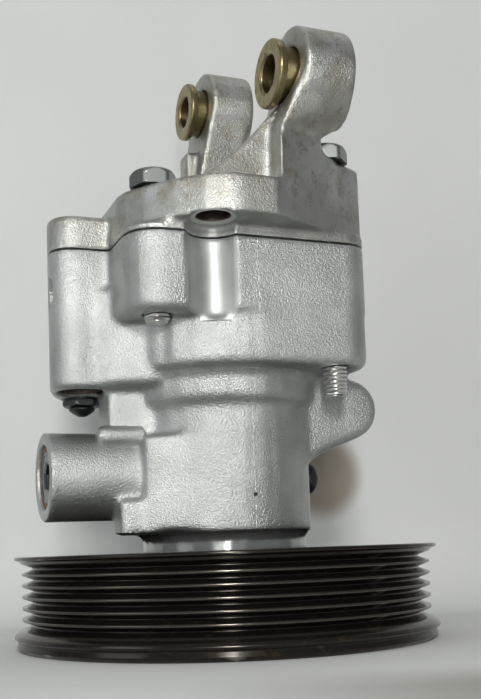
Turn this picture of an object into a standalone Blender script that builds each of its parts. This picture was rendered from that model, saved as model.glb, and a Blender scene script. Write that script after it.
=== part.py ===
"""A belt-driven vane pump for power steering, standing on its six-groove pulley.

The shaft is upright. Its lower end face holds the origin, +Z runs up the shaft to the
cover and its two mounting ears, -Y is the front and -X is the side with the ports.
Lengths are written in millimetres and made metres when a mesh is built.
"""

import math

import bmesh
import bpy
from mathutils import Matrix, Vector

MM = 0.001
GAP = 0.3  # between pieces that touch on the real pump
OVERLAP = 1.0  # how far shapes that are joined run into each other
BEYOND = 5.0  # how far a cutter runs out of the surface it opens

# Pulley
RIB_PITCH = 3.56
GROOVE_COUNT = 6
GROOVE_DEPTH = 3.4
GROOVE_FLAT = 0.4
CREST_RADIUS = 66.6
RIM_RADIUS = 68.9
RIM_THICKNESS = 1.3
PULLEY_HEIGHT = 29.6
FLOOR_DROP = 2.0  # the rim stands this far below the shaft's end
LIP_HEIGHT = 5.4
BAND_WALL = 4.2
WEB_THICKNESS = 4.0
WEB_RISE = 6.5
WEB_DISH_OUTER = 36.0
WEB_DISH_INNER = 24.0
HUB_RADIUS = 14.0
HUB_TOP = 18.6

# Shaft and what holds the pulley on it
SHAFT_RADIUS = 8.5
THREAD_RADIUS = 7.0
JOURNAL_RADIUS = 6.0
SPLINE_TEETH = 12
SPLINE_DEPTH = 0.9
SPLINE_RADIUS = 8.2
NUT_ACROSS = 21.0
NUT_HEIGHT = 6.6
NUT_START = 1.2
WASHER_RADIUS = 13.0
WASHER_THICKNESS = 1.8
KEY_WIDTH = 3.0
KEY_HEIGHT = 2.6
KEY_LENGTH = 6.0

# Front bearing, its ring and the shaft seal
BEARING_RADIUS = 20.0
BEARING_WIDTH = 12.0
BALL_RADIUS = 3.17
BALL_COUNT = 7
BALL_CIRCLE = 14.25
RACE_WALL = 1.9  # from the ball circle to each race's shoulder
CAGE_WALL = 1.2
CAGE_WIDTH = 8.6
RING_THICKNESS = 1.4
RING_GROOVE_DEPTH = 1.2
RING_REACH = 2.6  # how far the ring stands inside the bearing's edge
SEAL_RADIUS = 17.0
SEAL_WIDTH = 7.6
SEAL_CASE = 1.3
BUSH_WALL = 2.2
BUSH_LENGTH = 17.0

# Housing casting
NOSE_RADIUS = 27.2
NOSE_START = 19.5
BARREL_RADIUS = 29.1
BARREL_START = 33.4
LOWER_STEP = 74.6
LOWER_STEP_RADIUS = 32.0
UPPER_STEP = 83.8
UPPER_STEP_RADIUS = 36.8
FLANGE_START = 99.0
JOINT_PLANE = 123.1
STEP_ROUND = 1.4
HALF_DEPTH = 38.0
RIGHT_SIDE = 40.0
LEFT_SIDE = -40.3
LEFT_CORNER = 10.5
RIGHT_CORNER = 9.0
CASTING_ROUND = 3.0

# Port block on the left and the valve boss under it
BLOCK_SIDE = -58.4
BLOCK_FRONT = -12.3
BLOCK_BACK = 24.0
BLOCK_START = 79.2
BLOCK_CORNER = 8.0
WEB_FRONT = -20.0
PORT_RADIUS = 7.6
PORT_DEPTH = 24.0
PORT_X = -47.0
SIDE_HOLE_RADIUS = 5.3
SIDE_HOLE_DEPTH = 9.0
SIDE_HOLE_Z = 110.7
SIDE_HOLE_Y = -1.5
VALVE_Z = 52.2
VALVE_BOSS_RADIUS = 14.1
VALVE_END = -60.4
PAD_LEFT = -40.3
PAD_RIGHT = -28.0
PAD_TOP = 71.0
PAD_HALF_DEPTH = 6.5
NECK_WIDTH = 4.6
FOOT_LEFT = -35.3
FOOT_TOP = 46.0
FOOT_HALF_DEPTH = 7.5

# Rounded boss on the right of the barrel
TONGUE_X = 39.6
TONGUE_Z = 73.1
TONGUE_RADIUS = 10.1
TONGUE_FRONT = -20.0
TONGUE_BACK = 10.0
TONGUE_ROOT_X = 8.5
TONGUE_ROOT_Z = 50.6

# Flow valve in the boss
SPOOL_RADIUS = 7.0
SPOOL_LENGTH = 17.0
SPOOL_START = -46.0
SPOOL_STROKE = 5.0
SPOOL_WAIST = 5.0
SPOOL_LAND = 5.0
SPRING_RADIUS = 4.6
SPRING_WIRE = 0.6
SPRING_TURNS = 4
SPRING_SPARE = 0.9  # left between the turns when the spool is all the way in
PLUG_RADIUS = 10.0
PLUG_HEAD = 6.0
PLUG_BODY = 4.0
PLUG_RECESS = 1.0
PLUG_STEM_RADIUS = 3.6
SOCKET_ACROSS = 8.0
SOCKET_DEPTH = 5.0
PLUG_BODY_RADIUS = 8.8
PLUG_RING_WIRE = 0.4

# Blanking plug on the right of the barrel
DOME_RADIUS = 5.7
DOME_Z = 51.2
DOME_HEIGHT = 5.6
DOME_SHANK = 4.0
DOME_SHANK_LENGTH = 8.0

# Return union and its cap behind the port block's foot
UNION_X = -44.0
UNION_Y = 14.5
UNION_ACROSS = 15.0
UNION_HEX = 3.6
UNION_SHANK = 5.6
UNION_SHANK_LENGTH = 14.0
UNION_BORE = 3.2
CAP_RADIUS = 7.0
CAP_HEIGHT = 3.6
CAP_STEM_LENGTH = 6.0

# Pumping set
CAVITY_RADIUS = 29.0
CAVITY_FLOOR = 85.0
PLATE_THICKNESS = 8.0
RING_WIDTH = 18.0
CAM_MEAN = 22.8
CAM_LIFT = 1.2
ROTOR_RADIUS = 21.2
VANE_COUNT = 10
VANE_THICKNESS = 1.6
VANE_DEPTH = 8.0
SLOT_ROOM = 1.4
DOWEL_RADIUS = 1.6
DOWEL_CIRCLE = 24.6
DOWEL_BITE = 3.0
PLATE_BORE = 11.0
PORT_SLOT_RADIUS = 2.4
CIRCLIP_THICKNESS = 1.2
CIRCLIP_RADIUS = 10.2
CIRCLIP_GROOVE_DEPTH = 1.2
SIDE_RING_WIRE = 0.8
RING_WIRE = 1.2
COVER_RING_CIRCLE = 32.4

# Cover casting
LEDGE = JOINT_PLANE + 3.3
COVER_TOP = LEDGE + 13.3
COVER_ROUND = 1.2
COVER_LIP = 0.4  # the cover's sides stand this far from the joint's outline
SPOT_DEPTH = 0.5
LOBE_TOP = LEDGE + 8.9
SHOULDER_TOP = COVER_TOP + 11.9
SHOULDER_LEFT = 17.0
SHOULDER_INNER = 20.0
OVERHANG_FRONT = 49.3
OVERHANG_RIGHT = 2.6
OVERHANG_BACK = 30.5
OVERHANG_LEFT = -19.9
OVERHANG_SIDE = 33.0
ROOT_RIGHT = 24.0
REAR_JOURNAL_END = 132.0
REAR_BORE_END = 134.5
REAR_BUSH_WALL = 2.4
REAR_BUSH_LENGTH = 8.0

# Mounting ears and their flanged bushes
EAR_RADIUS = 15.0
EAR_LEFT = 10.4
EAR_RIGHT = 27.0
NEAR_EAR_Y = -41.6
NEAR_EAR_Z = COVER_TOP + 34.0
FAR_EAR_Y = 37.1
FAR_EAR_Z = COVER_TOP + 56.1
COLUMN_LEFT = 4.7
COLUMN_RIGHT = 18.0
COLUMN_WAIST = COVER_TOP + 16.3
COLUMN_HALF = 8.4
COLUMN_INSET = 0.5  # the column runs this far inside the ear's own surface
RIB_THICKNESS = 7.0
RIB_LEFT = -22.7
RIB_TOP = COVER_TOP + 21.3
STEP_TOP = COVER_TOP + 39.3
FLANGE_FACE = 3.6
BUSH_FLANGE_RADIUS = 10.8
BUSH_FLANGE_THICKNESS = 2.6
BUSH_NECK_RADIUS = 8.4
BUSH_BORE = 5.6

# Cover bolts and the bracket bolt's clearance
BOLT_RADIUS = 4.0
BOLT_CLEARANCE = 0.35
HEAD_ACROSS = 13.0
HEAD_HEIGHT = 6.4
HEAD_CHAMFER = 1.3
LEFT_BOLT = (-29.8, 27.2)
RIGHT_BOLT = (27.8, 31.0)
LEFT_BOLT_END = 96.8
RIGHT_BOLT_END = 74.6
RELIEF_X = -15.4
RELIEF_Y = -40.4
RELIEF_RADIUS = 8.2
RELIEF_START = 97.4
BRACKET_HOLE_RADIUS = 5.3
BRACKET_HOLE_DEPTH = 10.0

# How many facets a full turn has
FINE = 30
COARSE = 18
SMALL = 12
TINY = 8

# Places that follow from the sizes above
BAND_START = -FLOOR_DROP + LIP_HEIGHT
BAND_MIDDLE = (BAND_START + PULLEY_HEIGHT - FLOOR_DROP - RIM_THICKNESS) / 2
VALLEY_RADIUS = CREST_RADIUS - GROOVE_DEPTH
BAND_INNER = VALLEY_RADIUS - BAND_WALL
HUB_START = NUT_START + NUT_HEIGHT + 2 * GAP + WASHER_THICKNESS
BEARING_START = NOSE_START + RING_THICKNESS + RING_GROOVE_DEPTH
BEARING_END = BEARING_START + BEARING_WIDTH
BEARING_MIDDLE = BEARING_START + BEARING_WIDTH / 2
SEAL_START = BEARING_END + 2 * GAP
SEAL_END = SEAL_START + SEAL_WIDTH
BUSH_START = SEAL_END + 2 * GAP
FRONT_PLATE_START = CAVITY_FLOOR + GAP
CAM_START = FRONT_PLATE_START + PLATE_THICKNESS + GAP
REAR_PLATE_START = CAM_START + RING_WIDTH + GAP
ROTOR_START = CAM_START + GAP
ROTOR_WIDTH = RING_WIDTH - 2 * GAP
COVER_START = JOINT_PLANE + GAP
CIRCLIP_START = REAR_PLATE_START + GAP
SHAFT_BORE = SHAFT_RADIUS + GAP
JOURNAL_START = CIRCLIP_START + 2 * CIRCLIP_THICKNESS
VALVE_BORE = SPOOL_RADIUS + GAP
SPRING_LENGTH = 2 * SPRING_WIRE * (SPRING_TURNS + 1) + SPOOL_STROKE + SPRING_SPARE
SPRING_START = SPOOL_START + SPOOL_LENGTH + GAP
VALVE_BORE_END = SPRING_START + SPRING_LENGTH + GAP
PLUG_START = VALVE_END + PLUG_RECESS


def collection(name):
    group = bpy.data.collections.new(name)
    bpy.context.scene.collection.children.link(group)
    return group


for leftover in list(bpy.data.objects):
    bpy.data.objects.remove(leftover, do_unlink=True)

PARTS = collection("power_steering_pump")
TOOLS = collection("shapes_and_cutters")


def finish(name, colour, roughness, metallic):
    material = bpy.data.materials.new(name)
    material.use_nodes = True
    shader = material.node_tree.nodes["Principled BSDF"]
    shader.inputs["Base Color"].default_value = (*colour, 1.0)
    shader.inputs["Roughness"].default_value = roughness
    shader.inputs["Metallic"].default_value = metallic
    return material


CAST = ("cast_aluminium", (0.62, 0.62, 0.61), 0.42, 0.9)
COVER_CAST = ("cover_aluminium", (0.60, 0.59, 0.57), 0.38, 0.9)
BLACKED = ("blacked_steel", (0.035, 0.03, 0.028), 0.35, 0.8)
STEEL = ("ground_steel", (0.56, 0.57, 0.58), 0.25, 1.0)
ZINC = ("zinc_plate", (0.55, 0.57, 0.58), 0.3, 0.9)
YELLOW = ("yellow_zinc", (0.56, 0.45, 0.2), 0.3, 0.95)
BRONZE = ("bronze", (0.5, 0.33, 0.16), 0.35, 0.95)
RUBBER = ("black_rubber", (0.02, 0.02, 0.02), 0.6, 0.0)
PLASTIC = ("black_plastic", (0.02, 0.02, 0.022), 0.45, 0.0)


def add(obj, group):
    group.objects.link(obj)
    return obj


def tool(name, mesh):
    """A helper shape, which is joined to or cut from a part and isn't one itself."""
    obj = add(bpy.data.objects.new(name, mesh), TOOLS)
    obj.hide_render = True
    obj.display_type = "WIRE"
    return obj


def as_part(obj, name, look):
    """Moves a shape out of the helpers and gives it its name and its finish."""
    TOOLS.objects.unlink(obj)
    PARTS.objects.link(obj)
    obj.name = name
    obj.hide_render = False
    obj.display_type = "TEXTURED"
    obj.data.materials.append(finish(name + "_" + look[0], *look[1:]))
    obj.data.shade_smooth()
    obj.data.set_sharp_from_angle(angle=math.radians(30))
    return obj


def mesh_of(shape, name):
    """Turns a bmesh in millimetres into a mesh in metres, with its faces outwards."""
    bmesh.ops.recalc_face_normals(shape, faces=shape.faces)
    bmesh.ops.scale(shape, vec=Vector((MM, MM, MM)), verts=shape.verts)
    mesh = bpy.data.meshes.new(name)
    shape.to_mesh(mesh)
    shape.free()
    return mesh


def stand(obj, axis, place):
    """Lays a shape that was built along +Z along the named axis, with its zero at place."""
    columns = {
        "X": ((0, 1, 0), (0, 0, 1), (1, 0, 0)),
        "Y": ((1, 0, 0), (0, 0, 1), (0, -1, 0)),
        "Z": ((1, 0, 0), (0, 1, 0), (0, 0, 1)),
    }[axis]
    turn = Matrix(columns).transposed().to_4x4()
    obj.matrix_world = Matrix.Translation(Vector(place) * MM) @ turn
    return obj


def rod(name, radius, low, high, axis="Z", across=(0, 0), sides=COARSE, tip=None, spin=0.0):
    """A round bar or a cone from low to high along an axis. across is its place beside it."""
    shape = bmesh.new()
    bmesh.ops.create_cone(
        shape,
        cap_ends=True,
        segments=sides,
        radius1=radius,
        radius2=radius if tip is None else tip,
        depth=high - low,
    )
    bmesh.ops.rotate(shape, matrix=Matrix.Rotation(spin, 3, "Z"), verts=shape.verts)
    bmesh.ops.translate(shape, vec=(0, 0, (high - low) / 2), verts=shape.verts)
    place = (low, *across) if axis == "X" else (*across, low)
    return stand(tool(name, mesh_of(shape, name)), axis, place)


def hexagon(name, across, low, high, axis="Z", at=(0, 0), spin=0.0):
    return rod(name, across / math.sqrt(3), low, high, axis, at, 6, spin=spin)


def block(name, low, high, rounding=0.0):
    """A box between two corners, with its edges rounded where a rounding is given."""
    shape = bmesh.new()
    bmesh.ops.create_cube(shape, size=1.0)
    size = [b - a for a, b in zip(low, high)]
    centre = [(a + b) / 2 for a, b in zip(low, high)]
    bmesh.ops.scale(shape, vec=size, verts=shape.verts)
    bmesh.ops.translate(shape, vec=centre, verts=shape.verts)
    if rounding:
        bmesh.ops.bevel(
            shape, geom=shape.edges[:], offset=rounding, segments=2, profile=0.5, affect="EDGES"
        )
    return tool(name, mesh_of(shape, name))


def hull(name, points):
    """The convex solid around points, for a web that blends one section into another."""
    shape = bmesh.new()
    for point in points:
        shape.verts.new(point)
    made = bmesh.ops.convex_hull(shape, input=shape.verts[:])
    inside = made["geom_interior"] + made["geom_unused"]
    bmesh.ops.delete(shape, geom=list({g for g in inside if isinstance(g, bmesh.types.BMVert)}))
    return tool(name, mesh_of(shape, name))


def turned(name, profile, axis="Z", at=(0, 0), along=0.0, steps=COARSE, closed=False, spin=0.0):
    """Turns a profile of (radius, height) points, which runs down its outer side.

    spin starts the facets at another angle, so that a cutter's edges miss its target's.
    """
    mesh = bpy.data.meshes.new(name)
    points = [(r * MM * math.cos(spin), r * MM * math.sin(spin), z * MM) for r, z in profile]
    edges = [(i, i + 1) for i in range(len(points) - 1)]
    if closed:
        edges.append((len(points) - 1, 0))
    mesh.from_pydata(points, edges, [])
    obj = tool(name, mesh)
    screw = obj.modifiers.new("turn", "SCREW")
    screw.steps = steps
    screw.render_steps = steps
    screw.use_merge_vertices = True
    screw.merge_threshold = 1e-5
    place = (along, *at) if axis == "X" else (*at, along)
    return stand(obj, axis, place)


def rounded(corners, steps=4):
    """An outline from (x, y, radius) corners, with an arc at each corner with a radius."""
    outline = []
    for i, (x, y, radius) in enumerate(corners):
        here = Vector((x, y))
        if not radius:
            outline.append((x, y))
            continue
        before = (Vector(corners[i - 1][:2]) - here).normalized()
        after = (Vector(corners[(i + 1) % len(corners)][:2]) - here).normalized()
        half = before.angle(after) / 2
        middle = here + (before + after).normalized() * radius / math.sin(half)
        first = here + before * radius / math.tan(half) - middle
        turn = (here + after * radius / math.tan(half) - middle).angle_signed(first)
        for step in range(steps + 1):
            point = middle + Matrix.Rotation(turn * step / steps, 2) @ first
            outline.append((point.x, point.y))
    return outline


def plate(name, outlines, low, high, axis="Z", low_round=0.0, high_round=0.0):
    """A flat curve filled and given a thickness. Further outlines are holes in the first."""
    curve = bpy.data.curves.new(name, "CURVE")
    curve.dimensions = "2D"
    curve.fill_mode = "BOTH"
    curve.extrude = (high - low) / 2 * MM
    for outline in outlines:
        spline = curve.splines.new("POLY")
        spline.points.add(len(outline) - 1)
        for point, (x, y) in zip(spline.points, outline):
            point.co = (x * MM, y * MM, 0.0, 1.0)
        spline.use_cyclic_u = True
    guide = add(bpy.data.objects.new(name + "_outline", curve), TOOLS)
    graph = bpy.context.evaluated_depsgraph_get()
    mesh = bpy.data.meshes.new_from_object(guide.evaluated_get(graph))
    bpy.data.objects.remove(guide)
    shape = bmesh.new()
    shape.from_mesh(mesh)
    bmesh.ops.remove_doubles(shape, verts=shape.verts, dist=1e-6)
    bmesh.ops.recalc_face_normals(shape, faces=shape.faces)
    half = (high - low) / 2 * MM
    for side, radius in ((-1, low_round), (1, high_round)):
        if radius:
            rim = [
                e
                for e in shape.edges
                if all(v.co.z * side > half * 0.99 for v in e.verts)
                and len(e.link_faces) == 2
                and e.calc_face_angle() > 1.0
            ]
            bmesh.ops.bevel(
                shape, geom=rim, offset=radius * MM, segments=3, profile=0.5, affect="EDGES"
            )
    shape.to_mesh(mesh)
    shape.free()
    middle = (low + high) / 2
    place = {"X": (middle, 0, 0), "Y": (0, middle, 0), "Z": (0, 0, middle)}[axis]
    return stand(tool(name, mesh), axis, place)


def combine(target, operation, shapes):
    for shape in shapes:
        step = target.modifiers.new(shape.name, "BOOLEAN")
        step.operation = operation
        step.object = shape
        step.solver = "EXACT"


def join(target, *shapes):
    combine(target, "UNION", shapes)


def carve(target, *shapes):
    combine(target, "DIFFERENCE", shapes)


def copy_of(original, name, look, place, spin=0.0):
    """Another piece with the same mesh, at its own place."""
    obj = add(bpy.data.objects.new(name, original.data), PARTS)
    for step in original.modifiers:
        twin = obj.modifiers.new(step.name, step.type)
        twin.operation, twin.solver, twin.object = step.operation, step.solver, step.object
    obj.location = Vector(place) * MM
    obj.rotation_euler = (0, 0, spin)
    return obj


def ring_of(radius, wire, height):
    """The profile of a ring of round wire, as a six-sided loop down its outer side."""
    steps = 6
    turns = [2 * math.pi * (0.5 - i) / steps for i in range(steps)]
    return [(radius + wire * math.cos(a), height + wire * math.sin(a)) for a in turns]


def tube_profile(inner, outer, low, high):
    return [(outer, high), (outer, low), (inner, low), (inner, high)]


def cam_radius(angle):
    """The cam ring's inner radius: two lobes, so that the pressures balance."""
    return CAM_MEAN + CAM_LIFT * math.cos(2 * angle)


def round_outline(radius_at, count):
    """Points around the axis, at a radius worked out from the angle."""
    angles = [2 * math.pi * i / count for i in range(count)]
    return [(radius_at(a) * math.cos(a), radius_at(a) * math.sin(a)) for a in angles]


def spline_outline(tip):
    """A coarse spline: each tooth is a flat land between two flat roots."""
    root = tip - SPLINE_DEPTH
    lands = []
    for tooth in range(SPLINE_TEETH):
        for share, radius in ((-0.28, root), (-0.2, tip), (0.2, tip), (0.28, root)):
            angle = 2 * math.pi * (tooth + share) / SPLINE_TEETH
            lands.append((radius * math.cos(angle), radius * math.sin(angle)))
    return lands


def pulley():
    """A turned band with six V grooves between two rims, on a dished web and a hub."""
    top = PULLEY_HEIGHT - FLOOR_DROP
    flank = GROOVE_DEPTH * math.tan(math.radians(20))
    section = [(RIM_RADIUS - 0.9, top), (RIM_RADIUS, top - 0.5), (RIM_RADIUS, top - RIM_THICKNESS)]
    for groove in range(GROOVE_COUNT):
        middle = BAND_MIDDLE + ((GROOVE_COUNT - 1) / 2 - groove) * RIB_PITCH
        edge = GROOVE_FLAT / 2 + flank
        section += [
            (CREST_RADIUS, middle + edge),
            (VALLEY_RADIUS, middle + GROOVE_FLAT / 2),
            (VALLEY_RADIUS, middle - GROOVE_FLAT / 2),
            (CREST_RADIUS, middle - edge),
        ]
    foot = -FLOOR_DROP
    section += [
        (RIM_RADIUS, BAND_START - 0.4),
        (RIM_RADIUS + 0.3, BAND_START - 1.4),
        (RIM_RADIUS - 1.0, BAND_START - 2.4),
        (RIM_RADIUS - 0.6, foot + 1.2),
        (RIM_RADIUS - 2.0, foot),
        (RIM_RADIUS - 4.6, foot),
        (BAND_INNER + 2.6, foot + 2.0),
    ]
    web = HUB_START - WEB_RISE
    section += [
        (BAND_INNER, web),
        (WEB_DISH_OUTER, web),
        (WEB_DISH_INNER, HUB_START),
        (SHAFT_BORE, HUB_START),
        (SHAFT_BORE, HUB_TOP),
        (HUB_RADIUS, HUB_TOP),
        (HUB_RADIUS, HUB_START + WEB_THICKNESS),
        (WEB_DISH_INNER, HUB_START + WEB_THICKNESS),
        (WEB_DISH_OUTER, web + WEB_THICKNESS),
        (BAND_INNER - 2.0, web + WEB_THICKNESS),
        (BAND_INNER, web + WEB_THICKNESS + 2.0),
        (BAND_INNER, top - 1.0),
        (BAND_INNER + 1.0, top),
    ]
    wheel = turned("pulley_section", section, steps=FINE, closed=True)
    as_part(wheel, "pulley", BLACKED)
    half = KEY_WIDTH / 2 + GAP
    slot_top = SHAFT_RADIUS + KEY_HEIGHT / 2 + GAP
    slot = block("pulley_keyway", (-half, 0, HUB_START - BEYOND), (half, slot_top, HUB_TOP + BEYOND))
    carve(wheel, slot)


def shaft():
    """A stepped shaft: thread, keyed seat, bearing seat, spline for the rotor, rear journal."""
    groove = SHAFT_RADIUS - CIRCLIP_GROOVE_DEPTH
    profile = [
        (0, REAR_JOURNAL_END),
        (JOURNAL_RADIUS - 0.6, REAR_JOURNAL_END),
        (JOURNAL_RADIUS, REAR_JOURNAL_END - 0.6),
        (JOURNAL_RADIUS, JOURNAL_START),
        (SHAFT_RADIUS, JOURNAL_START),
        (SHAFT_RADIUS, CIRCLIP_START + CIRCLIP_THICKNESS + GAP),
        (groove, CIRCLIP_START + CIRCLIP_THICKNESS + GAP),
        (groove, ROTOR_START - OVERLAP),
        (SHAFT_RADIUS, ROTOR_START - OVERLAP),
        (SHAFT_RADIUS, HUB_START + 1.2),
        (THREAD_RADIUS, HUB_START + 0.2),
        (THREAD_RADIUS, 1.0),
        (THREAD_RADIUS - 1.0, 0),
        (0, 0),
    ]
    bar = turned("shaft_section", profile)
    as_part(bar, "drive_shaft", STEEL)
    teeth = [spline_outline(SPLINE_RADIUS)]
    spline = plate("shaft_spline", teeth, ROTOR_START - 2 * OVERLAP, CIRCLIP_START - GAP)
    join(bar, spline)
    half = KEY_WIDTH / 2 + GAP
    seat_low = SHAFT_RADIUS - KEY_HEIGHT / 2 - GAP
    middle = (HUB_START + HUB_TOP) / 2
    reach = KEY_LENGTH / 2 + GAP
    low = (-half, seat_low, middle - reach)
    high = (half, SHAFT_RADIUS + BEYOND, middle + reach)
    carve(bar, block("shaft_keyway", low, high))
    key_low = (-KEY_WIDTH / 2, SHAFT_RADIUS - KEY_HEIGHT / 2, middle - KEY_LENGTH / 2)
    key_high = (KEY_WIDTH / 2, SHAFT_RADIUS + KEY_HEIGHT / 2, middle + KEY_LENGTH / 2)
    as_part(block("key_bar", key_low, key_high), "pulley_key", STEEL)


def pulley_fixings():
    nut = hexagon("nut_hexagon", NUT_ACROSS, NUT_START, NUT_START + NUT_HEIGHT)
    as_part(nut, "pulley_nut", ZINC)
    crown = NUT_ACROSS / 2
    lower = turned(
        "nut_crown",
        [
            (0, NUT_START + NUT_HEIGHT + OVERLAP),
            (crown + 2.6, NUT_START + NUT_HEIGHT + OVERLAP),
            (crown + 2.6, NUT_START + 1.6),
            (crown - 0.4, NUT_START - 0.1),
            (0, NUT_START - 0.1),
        ],
    )
    combine(nut, "INTERSECT", [lower])
    carve(nut, rod("nut_bore", THREAD_RADIUS + GAP, -BEYOND, HUB_START + BEYOND))
    low = NUT_START + NUT_HEIGHT + GAP
    section = tube_profile(THREAD_RADIUS + GAP, WASHER_RADIUS, low, low + WASHER_THICKNESS)
    as_part(turned("washer_section", section, closed=True), "pulley_washer", ZINC)


def race_profile(shoulder, back, side):
    """A bearing race: a plain back, and a groove that the balls run in."""
    low, high = BEARING_START, BEARING_END
    room = BALL_RADIUS + GAP
    reach = math.sqrt(room**2 - RACE_WALL**2)
    start = math.atan2(reach, RACE_WALL)
    turns = [start * (1 - i / 3) for i in range(7)]
    groove = [(BALL_CIRCLE + side * room * math.cos(a), BEARING_MIDDLE + room * math.sin(a)) for a in turns]
    if side > 0:
        return [(back, high), (back, low), (shoulder, low), *groove[::-1], (shoulder, high)]
    return [(shoulder, high), *groove, (shoulder, low), (back, low), (back, high)]


def bearing():
    outer = race_profile(BALL_CIRCLE + RACE_WALL, BEARING_RADIUS, 1)
    as_part(turned("outer_race_section", outer, closed=True), "bearing_outer_race", STEEL)
    inner = race_profile(BALL_CIRCLE - RACE_WALL, SHAFT_BORE, -1)
    as_part(turned("inner_race_section", inner, closed=True), "bearing_inner_race", STEEL)
    half = CAGE_WIDTH / 2
    section = tube_profile(
        BALL_CIRCLE - CAGE_WALL, BALL_CIRCLE + CAGE_WALL, BEARING_MIDDLE - half, BEARING_MIDDLE + half
    )
    cage = turned("cage_section", section, steps=BALL_COUNT * 3, closed=True)
    as_part(cage, "bearing_cage", BRONZE)
    shape = bmesh.new()
    bmesh.ops.create_icosphere(shape, subdivisions=2, radius=BALL_RADIUS)
    ball = as_part(tool("ball_sphere", mesh_of(shape, "ball_sphere")), "bearing_ball_1", STEEL)
    for i in range(BALL_COUNT):
        angle = 2 * math.pi * i / BALL_COUNT
        place = (BALL_CIRCLE * math.cos(angle), BALL_CIRCLE * math.sin(angle), BEARING_MIDDLE)
        if i:
            copy_of(ball, f"bearing_ball_{i + 1}", STEEL, place)
        else:
            ball.location = Vector(place) * MM
        pocket = rod(f"cage_pocket_{i + 1}", BALL_RADIUS + GAP, 0, BEYOND * 4, sides=TINY)
        pocket.matrix_world = (
            Matrix.Translation((0, 0, BEARING_MIDDLE * MM))
            @ Matrix.Rotation(angle, 4, "Z")
            @ Matrix.Rotation(math.pi / 2, 4, "Y")
        )
        carve(cage, pocket)
    low = NOSE_START + RING_GROOVE_DEPTH - GAP
    inner, outer = BEARING_RADIUS - RING_REACH, BEARING_RADIUS + RING_GROOVE_DEPTH - GAP
    retaining_ring("bearing_snap_ring", inner, outer, low, RING_THICKNESS)


def retaining_ring(name, inner, outer, low, thickness):
    """A flat spring ring with a gap in it."""
    opening = math.radians(22)
    span = 2 * math.pi - opening
    turns = [math.pi / 2 + opening / 2 + span * i / COARSE for i in range(COARSE + 1)]
    outline = [(outer * math.cos(a), outer * math.sin(a)) for a in turns]
    outline += [(inner * math.cos(a), inner * math.sin(a)) for a in reversed(turns)]
    as_part(plate(name + "_flat", [outline], low, low + thickness), name, STEEL)


def shaft_seal():
    """A lip seal: an L-shaped case with a lip that leans along the shaft."""
    lip = SHAFT_RADIUS + GAP / 2
    section = [
        (SEAL_RADIUS, SEAL_END),
        (SEAL_RADIUS, SEAL_START),
        (lip + 3.0, SEAL_START),
        (lip, SEAL_START + 2.6),
        (lip, SEAL_START + 3.4),
        (lip + 2.6, SEAL_START + 5.0),
        (lip + 3.0, SEAL_START + SEAL_CASE + 1.0),
        (SEAL_RADIUS - SEAL_CASE, SEAL_START + SEAL_CASE + 1.0),
        (SEAL_RADIUS - SEAL_CASE, SEAL_END),
    ]
    as_part(turned("seal_section", section, closed=True), "shaft_seal", RUBBER)


def plain_bushes():
    outer = SHAFT_BORE + BUSH_WALL
    front = tube_profile(SHAFT_BORE, outer, BUSH_START, BUSH_START + BUSH_LENGTH)
    as_part(turned("front_bush_section", front, closed=True), "shaft_front_bush", BRONZE)
    bore = JOURNAL_RADIUS + GAP
    low = COVER_START + GAP
    rear = tube_profile(bore, bore + REAR_BUSH_WALL, low, low + REAR_BUSH_LENGTH)
    as_part(turned("rear_bush_section", rear, closed=True), "shaft_rear_bush", BRONZE)


def flange_corners():
    """The plan of the joint between housing and cover, as corners with radii."""
    return [
        (RIGHT_SIDE, -HALF_DEPTH, RIGHT_CORNER),
        (RIGHT_SIDE, HALF_DEPTH, RIGHT_CORNER),
        (LEFT_SIDE, HALF_DEPTH, LEFT_CORNER),
        (LEFT_SIDE, -HALF_DEPTH, LEFT_CORNER),
    ]


def block_corners(right):
    return [
        (right, BLOCK_FRONT, 0),
        (right, BLOCK_BACK, 0),
        (BLOCK_SIDE, BLOCK_BACK, BLOCK_CORNER),
        (BLOCK_SIDE, BLOCK_FRONT, BLOCK_CORNER),
    ]


def bolt_places():
    """Each cover bolt as its x, y, head seat and end."""
    left, right = LEFT_BOLT, RIGHT_BOLT
    return [
        (left[0], -left[1], COVER_TOP, LEFT_BOLT_END),
        (right[0], -right[1], SHOULDER_TOP, RIGHT_BOLT_END),
        (left[0], left[1], COVER_TOP, LEFT_BOLT_END),
        (right[0], right[1], SHOULDER_TOP, RIGHT_BOLT_END),
    ]


def bolt_holes(name, low, high):
    radius = BOLT_RADIUS + BOLT_CLEARANCE
    places = enumerate(bolt_places())
    return [rod(f"{name}_bolt_hole_{i + 1}", radius, low, high, across=p[:2], sides=SMALL) for i, p in places]


def relief(name):
    """The round-bottomed groove that clears the bracket bolt under the cover's ledge."""
    radius = RELIEF_RADIUS
    profile = [
        (0, LEDGE + SPOT_DEPTH),
        (radius, LEDGE + SPOT_DEPTH),
        (radius, RELIEF_START + 2.0),
        (radius - 0.6, RELIEF_START + 0.6),
        (radius - 2.0, RELIEF_START),
        (0, RELIEF_START),
    ]
    return turned(name, profile, at=(RELIEF_X, RELIEF_Y))


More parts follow.
